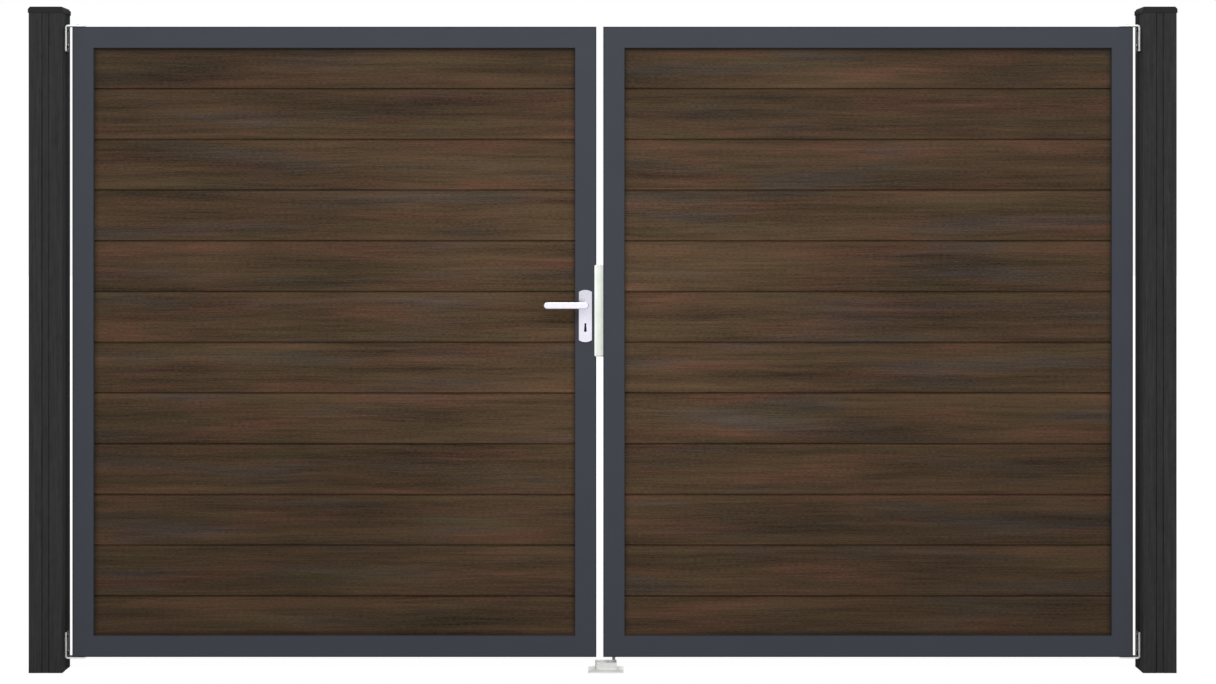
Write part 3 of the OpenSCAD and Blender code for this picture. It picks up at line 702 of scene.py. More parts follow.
@dataclass(frozen=True)
class EdgedCoat(Finish):
    """Black sheet steel standing in for shaded faces, with painted highlights of bright steel on the
    edges that face the front and back.

    Attributes:
        bare: The colour of the painted highlights, a bright steel.
        end_x: The painted highlight runs all round the brackets nearer the middle of the opening than
            this.
    """

    bare: Colour = (0.93, 0.93, 0.92)
    end_x: float = 1.4815

    def sockets(self, sheet: Sheet, at: Value) -> dict:
        """The sockets of the black faces and of the painted highlights on the edges and ends.

        Args:
            sheet: The sheet of the finish's material.
            at: The point's place on the piece.

        Returns:
            What goes into the surface's sockets, by their names.
        """
        x, _, _ = sheet.parts(at)
        _, across, _ = sheet.parts(sheet.facing())
        # Painted highlight: bright steel where a face looks to the front or back and all round the ends
        # near the opening; the black elsewhere stands in for shade.
        edge = across.size().ramp(0.55, 0.80).most(1.0 - x.size().above(self.end_x))
        grains = sheet.noise(at, 1200, detail=2)
        shear = sheet.noise(at, (500, 2000, 500), detail=2)
        coat = sheet.toned(self.colour, 1.0 + grains.swing(0.3))
        bare = sheet.toned(self.bare, 1.0 + shear.swing(0.25))
        return {
            "Base Color": sheet.mixed(edge, coat, bare),
            "Metallic": edge * 0.6,
            "Roughness": 0.55 - edge * 0.15 + grains.swing(0.2),
            "Specular IOR Level": 0.10,
            "Normal": sheet.relief(grains, 0.06 * MM),
        }


@dataclass(frozen=True)
class SpangledZinc(Finish):
    """Hot-dip zinc: angular patches of slightly different grey and gloss."""

    def sockets(self, sheet: Sheet, at: Value) -> dict:
        """The zinc's sockets.

        Args:
            sheet: The sheet of the finish's material.
            at: The point's place on the piece.

        Returns:
            What goes into the surface's sockets, by their names.
        """
        cells = sheet.value("ShaderNodeTexVoronoi", sockets={"Vector": at, "Scale": 120.0}, out="Color")
        patch, gloss, _ = sheet.parts(cells)
        frost = sheet.noise(at, 600)
        return {
            "Base Color": sheet.toned(self.colour, 0.84 + patch * 0.24 + frost.swing(0.2)),
            "Metallic": 1.0,
            "Roughness": 0.42 + gloss * 0.16,
            "Normal": sheet.relief(frost, 0.03 * MM),
        }


@dataclass(frozen=True)
class CastMetal(Finish):
    """A cast skin: fine pebbles, shallow flow marks and a dull sheen.

    Painted shade darkens it where it faces left and along the block's left edge, and painted light makes
    it paler where it faces up and at the foot.

    Attributes:
        rough: The sheen's roughness.
        shade: The strength of the painted shade on the left.
        block_x: The left side of the ground stop's block.
        base_z: The height of its base.
    """

    rough: float = 0.60
    shade: float = 0.36
    block_x: float = -21.35 * MM
    base_z: float = 7.0 * MM

    def sockets(self, sheet: Sheet, at: Value) -> dict:
        """The casting's sockets.

        Args:
            sheet: The sheet of the finish's material.
            at: The point's place on the piece.

        Returns:
            What goes into the surface's sockets, by their names.
        """
        pebbles = sheet.noise(at, 750, detail=3)
        flow = sheet.noise(at, 45, detail=3)
        x, _, z = sheet.parts(at)
        aside, _, up = sheet.parts(sheet.facing())
        # Painted shade where it faces left, and on a strip along the block's left edge.
        left = aside.ramp(-0.30, -0.15, 1.0, 0.0)
        rounded = x.ramp(self.block_x + 2.0 * MM, self.block_x + 7.0 * MM, 1.0, 0.0)
        dark = left.most(rounded * z.above(self.base_z)) * self.shade
        # Painted light: paler at the foot and where it faces up.
        pale = z.ramp(self.base_z * 0.3, self.base_z, 0.14, 0.0) + up.ramp(0.5, 0.9, 0.0, 0.10)
        tone = 1.0 + pebbles.swing(0.16) + flow.swing(0.20) + pale - dark
        return {
            "Base Color": sheet.toned(self.colour, tone),
            "Specular IOR Level": 0.30,
            "Roughness": self.rough + pebbles.swing(0.25),
            "Normal": sheet.relief(pebbles * 0.7 + flow * 0.3, 0.16 * MM),
        }


@dataclass(frozen=True)
class MouldedPlastic(Finish):
    """Moulded nylon with a fine spark-eroded grain.

    Attributes:
        rough: The average roughness.
        gleam: The strength of the gloss.
    """

    rough: float = 0.5
    gleam: float = 0.35

    def sockets(self, sheet: Sheet, at: Value) -> dict:
        """The plastic's sockets.

        Args:
            sheet: The sheet of the finish's material.
            at: The point's place on the piece.

        Returns:
            What goes into the surface's sockets, by their names.
        """
        grain = sheet.noise(at, 1900, detail=1)
        flow = sheet.noise(at, 55, detail=2)
        return {
            "Base Color": sheet.toned(self.colour, 1.0 + grain.swing(0.2) + flow.swing(0.08)),
            "Roughness": self.rough + grain.swing(0.25),
            "Specular IOR Level": self.gleam,
            "Normal": sheet.relief(grain, 0.05 * MM),
        }


FINISHES: tuple[Finish, ...] = (
    BrushedCoat("post_profile", (0.0385, 0.0385, 0.0385)),
    BrushedCoat("post_cap", (0.0290, 0.0290, 0.0290), grain=Grain.NONE, streaks=0.35, seam=0.0),
    BrushedCoat("cover_strip", (0.0370, 0.0370, 0.0370), streaks=0.9),
    SpangledZinc("galvanised_steel", (0.45, 0.46, 0.47)),
    SatinMetal("bright_steel", (0.78, 0.78, 0.77), rough=0.30, grain=Grain.ALONG_Z),
    # The brackets' near-black stands in for the shade on their faces; EdgedCoat paints highlights on
    # their edges.
    EdgedCoat("bracket_coat", (0.020, 0.020, 0.020)),
    SatinMetal("dark_steel", (0.175, 0.175, 0.185), rough=0.42, grain=Grain.ALONG_Z),
    MouldedPlastic("white_nylon", (0.76, 0.74, 0.68)),
    CastMetal("cast_aluminium", (0.86, 0.86, 0.84)),
    PowderCoat("frame_coat", (0.0548, 0.0602, 0.0735)),
    CompositeBoard("board_composite", (0.0600, 0.0362, 0.0187)),
    LockAluminium("satin_aluminium", (0.815, 0.795, 0.895), rough=0.27, grain=Grain.ALONG_Z, brush=0.06),
    SatinMetal("lock_steel", (0.55, 0.55, 0.56), rough=0.34, grain=Grain.ALONG_X),
    KeepSheet("keep_steel", (0.73, 0.77, 0.71), rough=0.33, grain=Grain.ALONG_Z, brush=0.05),
    MouldedPlastic("black_nylon", (0.009, 0.009, 0.011), rough=0.7, gleam=0.10),
)


# Geometry


@dataclass
class Ring:
    """One closed ring of a turned or pressed shape, at a height along the shape's axis.

    Attributes:
        reach: The ring's radius in a direction, given by the angle in radians.
        height: Where the ring lies along the axis.
    """

    reach: Callable[[float], float]
    height: float


def round_ring(radius: float, height: float) -> Ring:
    """A ring of one radius all round."""
    return Ring(lambda _angle: radius, height)


def recess_ring(kind: Recess, size: float, height: float) -> Ring:
    """A ring with the outline of a tool recess.

    Args:
        kind: The recess.
        size: Half the distance across a hexagon's flats, or half a cross's width.
        height: Where the ring lies along the axis.

    Returns:
        The ring.
    """

    def hexagon(angle: float) -> float:
        """The reach of a hexagon."""
        part = math.pi / 3
        return size / math.cos((angle + part / 2) % part - part / 2)

    def cross(angle: float) -> float:
        """The reach of a cross whose arms are a third as wide as it is long.

        Args:
            angle: The direction in radians.

        Returns:
            The distance from the middle to the outline.
        """
        part = math.pi / 2
        turn = abs((angle + part / 2) % part - part / 2)
        return min(size / math.cos(turn), size / 3 / max(math.sin(turn), 1e-6))

    return Ring(hexagon if kind is Recess.HEXAGON else cross, height)


def turned(work: BMesh, rings: Sequence[Ring], place: Matrix, steps: int = 48) -> None:
    """Adds a closed shape that runs through rings from its foot to its head.

    Args:
        work: The mesh that the shape is added to.
        rings: The rings, each about the local Z axis.
        place: Takes the local axes to the frame's.
        steps: The number of points in a ring.
    """
    loops = []
    for ring in rings:
        loop = []
        for step in range(steps):
            angle = math.tau * step / steps
            reach = ring.reach(angle)
            local = Vector((reach * math.cos(angle), reach * math.sin(angle), ring.height))
            loop.append(work.verts.new(place @ local))
        loops.append(loop)
    skin(work, loops)


def skin(work: BMesh, loops: Sequence[Sequence[bmesh.types.BMVert]]) -> None:
    """Joins closed loops with quads and closes the first and the last one.

    Args:
        work: The mesh that the points are in.
        loops: The loops in order, each with as many points as the others.
    """
    count = len(loops[0])
    for low, high in zip(loops, loops[1:]):
        for i in range(count):
            j = (i + 1) % count
            work.faces.new((low[i], low[j], high[j], high[i]))
    work.faces.new(tuple(reversed(loops[0])))
    work.faces.new(tuple(loops[-1]))


def arc(radius: float, steps: int, start: float = 0.0, end: float = 90.0) -> list[tuple[float, float]]:
    """Sine and cosine of the angles of an arc, times its radius.

    Args:
        radius: The arc's radius.
        steps: The number of stretches between its points.
        start: Its first angle in degrees.
        end: Its last angle in degrees.

    Returns:
        One pair for each point.
    """
    angles = [math.radians(start + (end - start) * i / steps) for i in range(steps + 1)]
    return [(radius * math.sin(a), radius * math.cos(a)) for a in angles]


def facing(centre: Vector, direction: Vector) -> Matrix:
    """The matrix that puts local Z along a direction, from a point."""
    return Matrix.Translation(centre) @ direction.to_track_quat("Z", "Y").to_matrix().to_4x4()


def solids(node: bpy.types.Object) -> list[Box]:
    """The box of each separate solid in a CAD node.

    Args:
        node: The node.

    Returns:
        The boxes in the order of their lowest corners, each with its lowest corner first.
    """
    work = bmesh.new()
    work.from_mesh(node.data)
    bmesh.ops.remove_doubles(work, verts=work.verts, dist=MERGE)
    left, boxes = set(work.verts), []
    while left:
        front = [left.pop()]
        group = list(front)
        while front:
            vert = front.pop()
            for edge in vert.link_edges:
                other = edge.other_vert(vert)
                if other in left:
                    left.remove(other)
                    front.append(other)
                    group.append(other)
        low = Vector(min(v.co[i] for v in group) for i in range(3))
        high = Vector(max(v.co[i] for v in group) for i in range(3))
        boxes.append((low, high))
    work.free()
    return sorted(boxes, key=lambda box: tuple(round(c, 5) for c in box[0]))


def softened(
    source: bpy.types.Mesh, name: str, radius: float, sharp: float = 40.0, flat: float = 0.8
) -> bpy.types.Mesh:
    """A copy of a CAD mesh with its sharp edges rounded over, as real edges are.

    The faces are merged to leave few slivers, and then cut into triangles, so that holes stay open.

    Args:
        source: The CAD node's mesh, which stays as it is.
        name: The new mesh's name.
        radius: The width of the rounding.
        sharp: Edges that turn by more degrees than this are rounded.
        flat: Faces that differ by fewer degrees than this are merged first.

    Returns:
        The new mesh.
    """
    work = bmesh.new()
    work.from_mesh(source)
    bmesh.ops.remove_doubles(work, verts=work.verts, dist=MERGE)
    merge = math.radians(flat)
    bmesh.ops.dissolve_limit(work, angle_limit=merge, verts=work.verts, edges=work.edges)
    bmesh.ops.triangulate(work, faces=work.faces)
    limit = math.radians(sharp)
    edges = [e for e in work.edges if e.is_manifold and e.calc_face_angle(0.0) > limit]
    bmesh.ops.bevel(
        work, geom=edges, offset=radius, offset_type="OFFSET", segments=3, profile=0.5,
        affect="EDGES", clamp_overlap=True,
    )
    mesh = bpy.data.meshes.new(name)
    work.to_mesh(mesh)
    work.free()
    return mesh


# Workshop


@dataclass
class Workshop:
    """Dresses the frame's nodes, turns new meshes into pieces on its bodies and counts both.

    Attributes:
        nodes: The frame's CAD nodes by name.
        coats: The finished materials by the record's slots.
        made: The pieces made so far.
        dressed: The nodes dressed so far.
        crease: Edges that turn by more degrees than this stay sharp.
    """

    nodes: dict[str, bpy.types.Object]
    coats: dict[str, bpy.types.Material] = field(default_factory=dict)
    made: list[str] = field(default_factory=list)
    dressed: list[str] = field(default_factory=list)
    crease: float = 38.0

    def prepare(self, finishes: Sequence[Finish]) -> None:
        """Builds every finish once.

        Args:
            finishes: The finishes.
        """
        for finish in finishes:
            self.coats[finish.slot] = finish.make()
        log.info("%d finishes", len(self.coats))

    def dress(self, slot: str, *names: str) -> None:
        """Gives CAD nodes whose shape stays their finish.

        Args:
            slot: The record's material slot.
            names: The nodes.
        """
        for name in names:
            node = self.nodes[name]
            if not node.data.materials:
                node.data.materials.append(self.coats[slot])
            for place in node.material_slots:
                place.material = self.coats[slot]
            self.dressed.append(name)

    def piece(
        self, name: str, mesh: bpy.types.Mesh, slot: str, body: str, *replaced: str
    ) -> bpy.types.Object:
        """Puts a new mesh into the scene as a piece of the gate.

        Args:
            name: The piece's name.
            mesh: Its mesh, in the frame's axes.
            slot: The record's material slot that it takes its finish from.
            body: The body that it rides on.
            replaced: The CAD nodes that it stands for.

        Returns:
            The piece.
        """
        mesh.materials.clear()
        mesh.materials.append(self.coats[slot])
        for face in mesh.polygons:
            face.material_index = 0
        mesh.shade_smooth()
        mesh.set_sharp_from_angle(angle=math.radians(self.crease))
        piece = bpy.data.objects.new(name, mesh)
        bpy.context.scene.collection.objects.link(piece)
        weight = piece.modifiers.new("even normals", "WEIGHTED_NORMAL")
        weight.keep_sharp = True
        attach(piece, body)
        if replaced:
            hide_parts(*replaced)
        self.made.append(name)
        log.info("%s rides on %s", name, body)
        return piece

    def soften(self, node: str, slot: str, body: str, radius: float) -> bpy.types.Object:
        """Replaces a CAD node with a copy whose edges are rounded over.

        Args:
            node: The node.
            slot: The material slot of the copy.
            body: The body that it rides on.
            radius: The width of the rounding.

        Returns:
            The piece.
        """
        mesh = softened(self.nodes[node].data, node + "_soft", radius)
        return self.piece(node + "_soft", mesh, slot, body, node)

    def cut(
        self, name: str, work: BMesh, slot: str, body: str, *replaced: str
    ) -> bpy.types.Object:
        """Turns a finished bmesh into a piece and frees it.

        Args:
            name: The piece's name.
            work: The bmesh, in the frame's axes.
            slot: The record's material slot that the piece takes its finish from.
            body: The body that it rides on.
            replaced: The CAD nodes that it stands for.

        Returns:
            The piece.
        """
        bmesh.ops.recalc_face_normals(work, faces=work.faces)
        mesh = bpy.data.meshes.new(name)
        work.to_mesh(mesh)
        work.free()
        return self.piece(name, mesh, slot, body, *replaced)


# Fasteners


@dataclass(frozen=True)
class Fastener:
    """A bolt or screw along its local Z: head above the origin if it is domed, flush if it is sunk.

    Attributes:
        head_r: The head's radius.
        shank_r: The shank's radius.
        dome: The height of a domed head, or 0 for a sunk one.
        recess: The tool's place in the head.
        recess_size: Half the hexagon's width across its flats, or half the cross's width.
        recess_depth: How deep the recess is.
        lead: The chamfer at the shank's tip.
    """

    head_r: float
    shank_r: float
    dome: float
    recess: Recess
    recess_size: float
    recess_depth: float
    lead: float = 0.8 * MM

    def rings(self, length: float) -> list[Ring]:
        """The fastener's rings from its tip to the bottom of its recess.

        Args:
            length: The length of the shank below the origin.

        Returns:
            The rings in order.
        """
        tip = [
            round_ring(self.shank_r - self.lead, -length),
            round_ring(self.shank_r, self.lead - length),
        ]
        rings = tip + (self._dome() if self.dome else self._sunk())
        top = rings[-1].height
        rings += [
            recess_ring(self.recess, self.recess_size * 1.06, top),
            recess_ring(self.recess, self.recess_size, top - 0.25 * MM),
            recess_ring(self.recess, self.recess_size * 0.93, top - self.recess_depth),
            round_ring(self.recess_size * 0.2, top - self.recess_depth * 1.15),
        ]
        return rings

    def _sunk(self, soft: float = 0.15 * MM) -> list[Ring]:
        """The rings of a sunk head.

        Args:
            soft: How much its rim is softened.

        Returns:
            The rings from the shank to the rim.
        """
        return [
            round_ring(self.shank_r, self.shank_r - self.head_r),
            round_ring(self.head_r - soft, -soft),
            round_ring(self.head_r - soft * 0.3, -soft * 0.2),
            round_ring(self.head_r - soft * 1.5, 0.0),
        ]

    def _dome(self) -> list[Ring]:
        """The rings of a domed head with a softened rim.

        Returns:
            The rings from the shank to the recess.
        """
        ball = (self.head_r**2 + self.dome**2) / (2 * self.dome)
        rim = 0.4 * MM
        rings = [round_ring(self.shank_r, 0.0), round_ring(self.head_r - rim, 0.0)]
        rings.append(round_ring(self.head_r - rim * 0.2, rim * 0.5))
        inner = self.recess_size * 1.35
        for step in range(7):
            radius = (self.head_r - rim) + (inner - self.head_r + rim) * step / 6
            rings.append(round_ring(radius, self.dome - ball + math.sqrt(ball**2 - radius**2)))
        return rings


BRACKET_BOLT = Fastener(
    head_r=7.5 * MM, shank_r=4.0 * MM, dome=3.6 * MM,
    recess=Recess.HEXAGON, recess_size=2.5 * MM, recess_depth=2.4 * MM,
)
PIVOT_PIN = Fastener(
    head_r=9.0 * MM, shank_r=5.0 * MM, dome=2.5 * MM,
    recess=Recess.HEXAGON, recess_size=3.0 * MM, recess_depth=1.8 * MM,
)
PLATE_SCREW = Fastener(
    head_r=4.5 * MM, shank_r=2.4 * MM, dome=0.0,
    recess=Recess.CROSS, recess_size=2.3 * MM, recess_depth=1.6 * MM,
)
SMALL_SCREW = Fastener(
    head_r=3.75 * MM, shank_r=2.0 * MM, dome=0.0,
    recess=Recess.CROSS, recess_size=1.9 * MM, recess_depth=1.3 * MM,
)


def fasten(work: BMesh, kind: Fastener, box: Box, direction: Vector) -> None:
    """Adds a fastener that fills the box of its CAD solid.

    Args:
        work: The mesh that it is added to.
        kind: The fastener.
        box: The solid's box.
        direction: From the shank to the head.
    """
    low, high = box
    centre = (low + high) / 2
    half = (high - low) / 2
    reach = abs(half.dot(direction))
    seat = centre + direction * (reach - kind.dome)
    turned(work, kind.rings(2 * reach - kind.dome), facing(seat, direction))


def fastened(
    shop: Workshop, node: str, slot: str, body: str, choose: Callable[[Box], tuple[Fastener, Vector]]
) -> None:
    """Replaces a CAD node of bolts or screws with turned ones, each in the box of its solid.

    Args:
        shop: The workshop.
        node: The node.
        slot: The record's material slot.
        body: The body that they ride on.
        choose: Gives the fastener for a box and the direction from its shank to its head.
    """
    work = bmesh.new()
    for box in solids(shop.nodes[node]):
        kind, direction = choose(box)
        fasten(work, kind, box, direction)
    shop.cut(f"{node}_turned", work, slot, body, node)


# Sub-assemblies


@dataclass
class Posts:
    """Two slotted posts with their cover strips, core tubes and caps.

    Attributes:
        shop: The workshop.
        cap_edge: The rounding of the caps' edges.
    """

    shop: Workshop
    cap_edge: float = 0.7 * MM

    def build(self) -> None:
        """Dresses the profiles and softens the caps."""
        self.shop.dress("post_profile", "post_left", "post_right")
        self.shop.dress("cover_strip", "post_cover_strips")
        self.shop.dress("galvanised_steel", "post_cores")
        for side in Side:
            self.shop.soften(f"post_cap_{side.word}", "post_cap", "posts", self.cap_edge)


@dataclass
class Hinges:
    """Four angle brackets on the posts, with their bolts, pivot pins and thrust washers.

    Attributes:
        shop: The workshop.
        bracket_edge: The rounding of the brackets' edges.
        washer_edge: The rounding of the washers' edges.
    """

    shop: Workshop
    bracket_edge: float = 0.5 * MM
    washer_edge: float = 0.15 * MM

    def build(self) -> None:
        """Softens the brackets and washers and turns the bolts and pins."""
        self.shop.soften("hinge_brackets", "bracket_coat", "posts", self.bracket_edge)
        self.shop.soften("thrust_washers", "white_nylon", "posts", self.washer_edge)
        fastened(self.shop, "bracket_bolts", "dark_steel", "posts", self._bolt)
        fastened(self.shop, "pivot_pins", "dark_steel", "posts", self._pin)

    @staticmethod
    def _bolt(box: Box) -> tuple[Fastener, Vector]:
        """A domed bolt, whose head faces into the opening."""
        return BRACKET_BOLT, Vector((1 if box[0].x < 0 else -1, 0, 0))

    @staticmethod
    def _pin(box: Box) -> tuple[Fastener, Vector]:
        """A pivot pin, whose head faces away from the leaf."""
        return PIVOT_PIN, Vector((0, 0, 1 if box[0].z > OUTLINE.middle_z else -1))


@dataclass
class Leaf:
    """One leaf: four frame profiles, their corner blocks and twelve boards.

    Attributes:
        shop: The workshop.
        side: Which of the two leaves it is.
    """

    shop: Workshop
    side: Side

    def build(self) -> None:
        """Dresses the profiles, the blocks and the boards."""
        word = self.side.word
        profiles = ("hinge_stile", "meeting_stile", "top_rail", "bottom_rail")
        self.shop.dress("frame_coat", *(f"{word}_{profile}" for profile in profiles))
        self.shop.dress("cast_aluminium", f"{word}_corner_blocks")
        boards = range(1, BOARDS_PER_LEAF + 1)
        self.shop.dress("board_composite", *(f"{word}_board_{row}" for row in boards))


@dataclass
class Lock:
    """The lock in the left leaf: case, two plates, two levers on one spindle and two bolts.

    Attributes:
        shop: The workshop.
        grip_t: The thickness of a lever's grip.
        grip_round: The rounding of its edges.
        neck_r: The radius of a lever's neck at the plate.
        collar: The height of the neck's thicker part.
        neck_fillet: The fillet between the neck and the grip.
        plate_edge: The rounding of the plates.
        bolt_edge: The rounding of the bolts.
        key_drop: From the levers' axis down to the middle of the keyhole's eye.
        key_r: The eye's radius.
        key_waist: Half the keyhole's width below the eye.
        key_foot: Half its width at the foot.
        key_skirt: From the middle of the eye down to the foot.
        shutter_y: From the leaf's middle plane to a shutter's back.
        shutter_t: A shutter's thickness.
    """

    shop: Workshop
    grip_t: float = 11.0 * MM
    grip_round: float = 4.6 * MM
    neck_r: float = 9.0 * MM
    collar: float = 9.6 * MM
    neck_fillet: float = 2.5 * MM
    plate_edge: float = 0.6 * MM
    bolt_edge: float = 0.5 * MM
    key_drop: float = 55 * MM
    key_r: float = 2.95 * MM
    key_waist: float = 2.15 * MM
    key_foot: float = 3.85 * MM
    key_skirt: float = 21.95 * MM
    shutter_y: float = 23.9 * MM
    shutter_t: float = 2.4 * MM

    def build(self) -> None:
        """Builds both faces of the lock and its bolts."""
        self.shop.dress("lock_steel", "lock_case", "lever_spindle")
        for face in Face:
            plate = f"lock_plate_{face.word}"
            self.shop.soften(plate, "satin_aluminium", "left_leaf", self.plate_edge)
            self._lever(face)
        self.shop.soften("latch_bolt", "lock_steel", "latch_bolt", self.bolt_edge)
        self.shop.soften("dead_bolt", "lock_steel", "dead_bolt", self.bolt_edge)
        fastened(self.shop, "lock_screws", "bright_steel", "left_leaf", self._screw)
        self._shutters()

    def _lever(self, face: Face) -> None:
        """One lever: a bar with round ends and rounded edges on a turned neck.

        Args:
            face: The face that it stands on.
        """
        node = f"lever_{face.word}"
        low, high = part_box(node)
        out = Vector((0, face.value, 0))
        near, far = (high.y, low.y) if face is Face.FRONT else (low.y, high.y)
        middle = (low.z + high.z) / 2
        radius = (high.z - low.z) / 2
        hub, tip = high.x - radius, low.x + radius
        soft = self.grip_round
        layers = [(soft - s, soft - c) for s, c in arc(soft, 6)]
        layers += [(inset, self.grip_t - rise) for inset, rise in reversed(layers)]
        work = bmesh.new()
        loops = []
        for inset, rise in layers:
            y = far - out.y * (self.grip_t - rise)
            points = self._stadium(hub, tip, radius - inset)
            loops.append([work.verts.new((x, y, middle + up)) for x, up in points])
        skin(work, loops)
        self._neck(work, Vector((hub, near, middle)), out, abs(far - near) - self.grip_t)
        self.shop.cut(f"{node}_bar", work, "satin_aluminium", "lever", node)

    @staticmethod
    def _stadium(hub: float, tip: float, radius: float, steps: int = 20) -> list[tuple[float, float]]:
        """The outline of a bar with round ends.

        Args:
            hub: The X of the right end's middle.
            tip: The X of the left end's middle.
            radius: The ends' radius.
            steps: The number of stretches in an end's arc.

        Returns:
            The X of each point and its height over the bar's axis.
        """
        points = []
        for centre, start in ((hub, -90), (tip, 90)):
            for step in range(steps + 1):
                angle = math.radians(start + 180 * step / steps)
                points.append((centre + radius * math.cos(angle), radius * math.sin(angle)))
        return points

    def _neck(self, work: BMesh, foot: Vector, out: Vector, length: float) -> None:
        """The neck from the plate to the grip, with a groove at its foot and a fillet at the grip.

        Args:
            work: The lever's mesh.
            foot: The middle of the neck's foot.
            out: The direction away from the leaf.
            length: The neck's length.
        """
        slim = self.neck_r - 1.2 * MM
        fillet = self.neck_fillet
        rings = [
            round_ring(self.neck_r - 0.4 * MM, 0.0),
            round_ring(self.neck_r, 0.4 * MM),
            round_ring(self.neck_r, self.collar),
            round_ring(self.neck_r - 0.5 * MM, self.collar + 0.5 * MM),
            round_ring(slim, self.collar + 0.8 * MM),
        ]
        for across, along in arc(fillet, 5):
            rings.append(round_ring(slim + fillet - along, length - fillet + across))
        rings.append(round_ring(slim + fillet, length + 1.0 * MM))
        turned(work, rings, facing(foot, out), steps=64)

    @staticmethod
    def _screw(box: Box) -> tuple[Fastener, Vector]:
        """A through-screw from the back plate, or a screw of the forend.

        Args:
            box: The screw's box, which is long along Y for a through-screw.

        Returns:
            The screw and the direction of its head.
        """
        size = box[1] - box[0]
        if size.y > size.x:
            return PLATE_SCREW, Vector((0, 1, 0))
        return SMALL_SCREW, Vector((1, 0, 0))

    def _shutters(self) -> None:
        """Two sprung dust shutters that close the keyholes from behind the plates until a key comes."""
        low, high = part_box("lever_front")
        hub = high.x - (high.z - low.z) / 2
        middle = (low.z + high.z) / 2 - self.key_drop
        soft = 0.2 * MM
        thick = self.shutter_t
        work = bmesh.new()
        for face in Face:
            loops = []
            for inset, rise in ((soft, 0.0), (0.0, soft), (0.0, thick - soft), (soft, thick)):
                y = face.value * (self.shutter_y + rise)
                points = self._keyhole(inset)
                loops.append([work.verts.new((hub + u, y, middle + v)) for u, v in points])
            skin(work, loops)
        self.shop.cut("keyhole_shutters", work, "black_nylon", "left_leaf")

    def _keyhole(self, inset: float, steps: int = 24) -> list[tuple[float, float]]:
        """The outline of the keyhole: a round eye over a skirt that widens downwards.

        Args:
            inset: How much narrower it is on every side.
            steps: The number of stretches in the eye's arc.

        Returns:
            Its points from the right end of the eye round to the skirt's right foot.
        """
        eye = self.key_r - inset
        waist, foot = self.key_waist - inset, self.key_foot - inset
        skirt, soft = self.key_skirt - inset, self.key_r / 2
        start = math.acos(waist / eye)
        points = []
        for step in range(steps + 1):
            angle = -start + (math.pi + 2 * start) * step / steps
            points.append((eye * math.cos(angle), eye * math.sin(angle)))
        sides = [(foot, soft - skirt), (foot - soft, -skirt)]
        return points + [(-u, v) for u, v in sides] + list(reversed(sides))


@dataclass
class Keep:
    """The keep on the right leaf's edge, whose lip covers the gap, and its screws.

    Attributes:
        shop: The workshop.
        edge: The rounding of the keep's edges.
    """

    shop: Workshop
    edge: float = 0.7 * MM

    def build(self) -> None:
        """Softens the keep and turns its screws."""
        self.shop.soften("keep", "keep_steel", "right_leaf", self.edge)
        fastened(self.shop, "keep_screws", "bright_steel", "right_leaf", self._screw)

    @staticmethod
    def _screw(_box: Box) -> tuple[Fastener, Vector]:
        """A small screw, whose head faces the left leaf."""
        return SMALL_SCREW, Vector((-1, 0, 0))


@dataclass
class DropBolt:
    """The drop bolt in the right leaf's stile: rod, guide block and knob.

    Attributes:
        shop: The workshop.
        rod_edge: The rounding of the rod's ends.
        knob_edge: The rounding of the knob's edges.
    """

    shop: Workshop
    rod_edge: float = 0.8 * MM
    knob_edge: float = 0.4 * MM

    def build(self) -> None:
        """Softens the rod and the knob and dresses the guide."""
        self.shop.soften("drop_bolt_rod", "dark_steel", "drop_bolt", self.rod_edge)
        self.shop.soften("drop_bolt_knob", "black_nylon", "drop_bolt", self.knob_edge)
        self.shop.dress("black_nylon", "drop_bolt_guide")


@dataclass
class GroundStop:
    """The cast stop on the ground, with the drop bolt's socket and two anchor holes.

    Attributes:
        shop: The workshop.
        edge: The rounding of its edges.
    """

    shop: Workshop
    edge: float = 0.8 * MM

    def build(self) -> None:
        """Softens the casting."""
        self.shop.soften("ground_stop", "cast_aluminium", "posts", self.edge)


# Studio


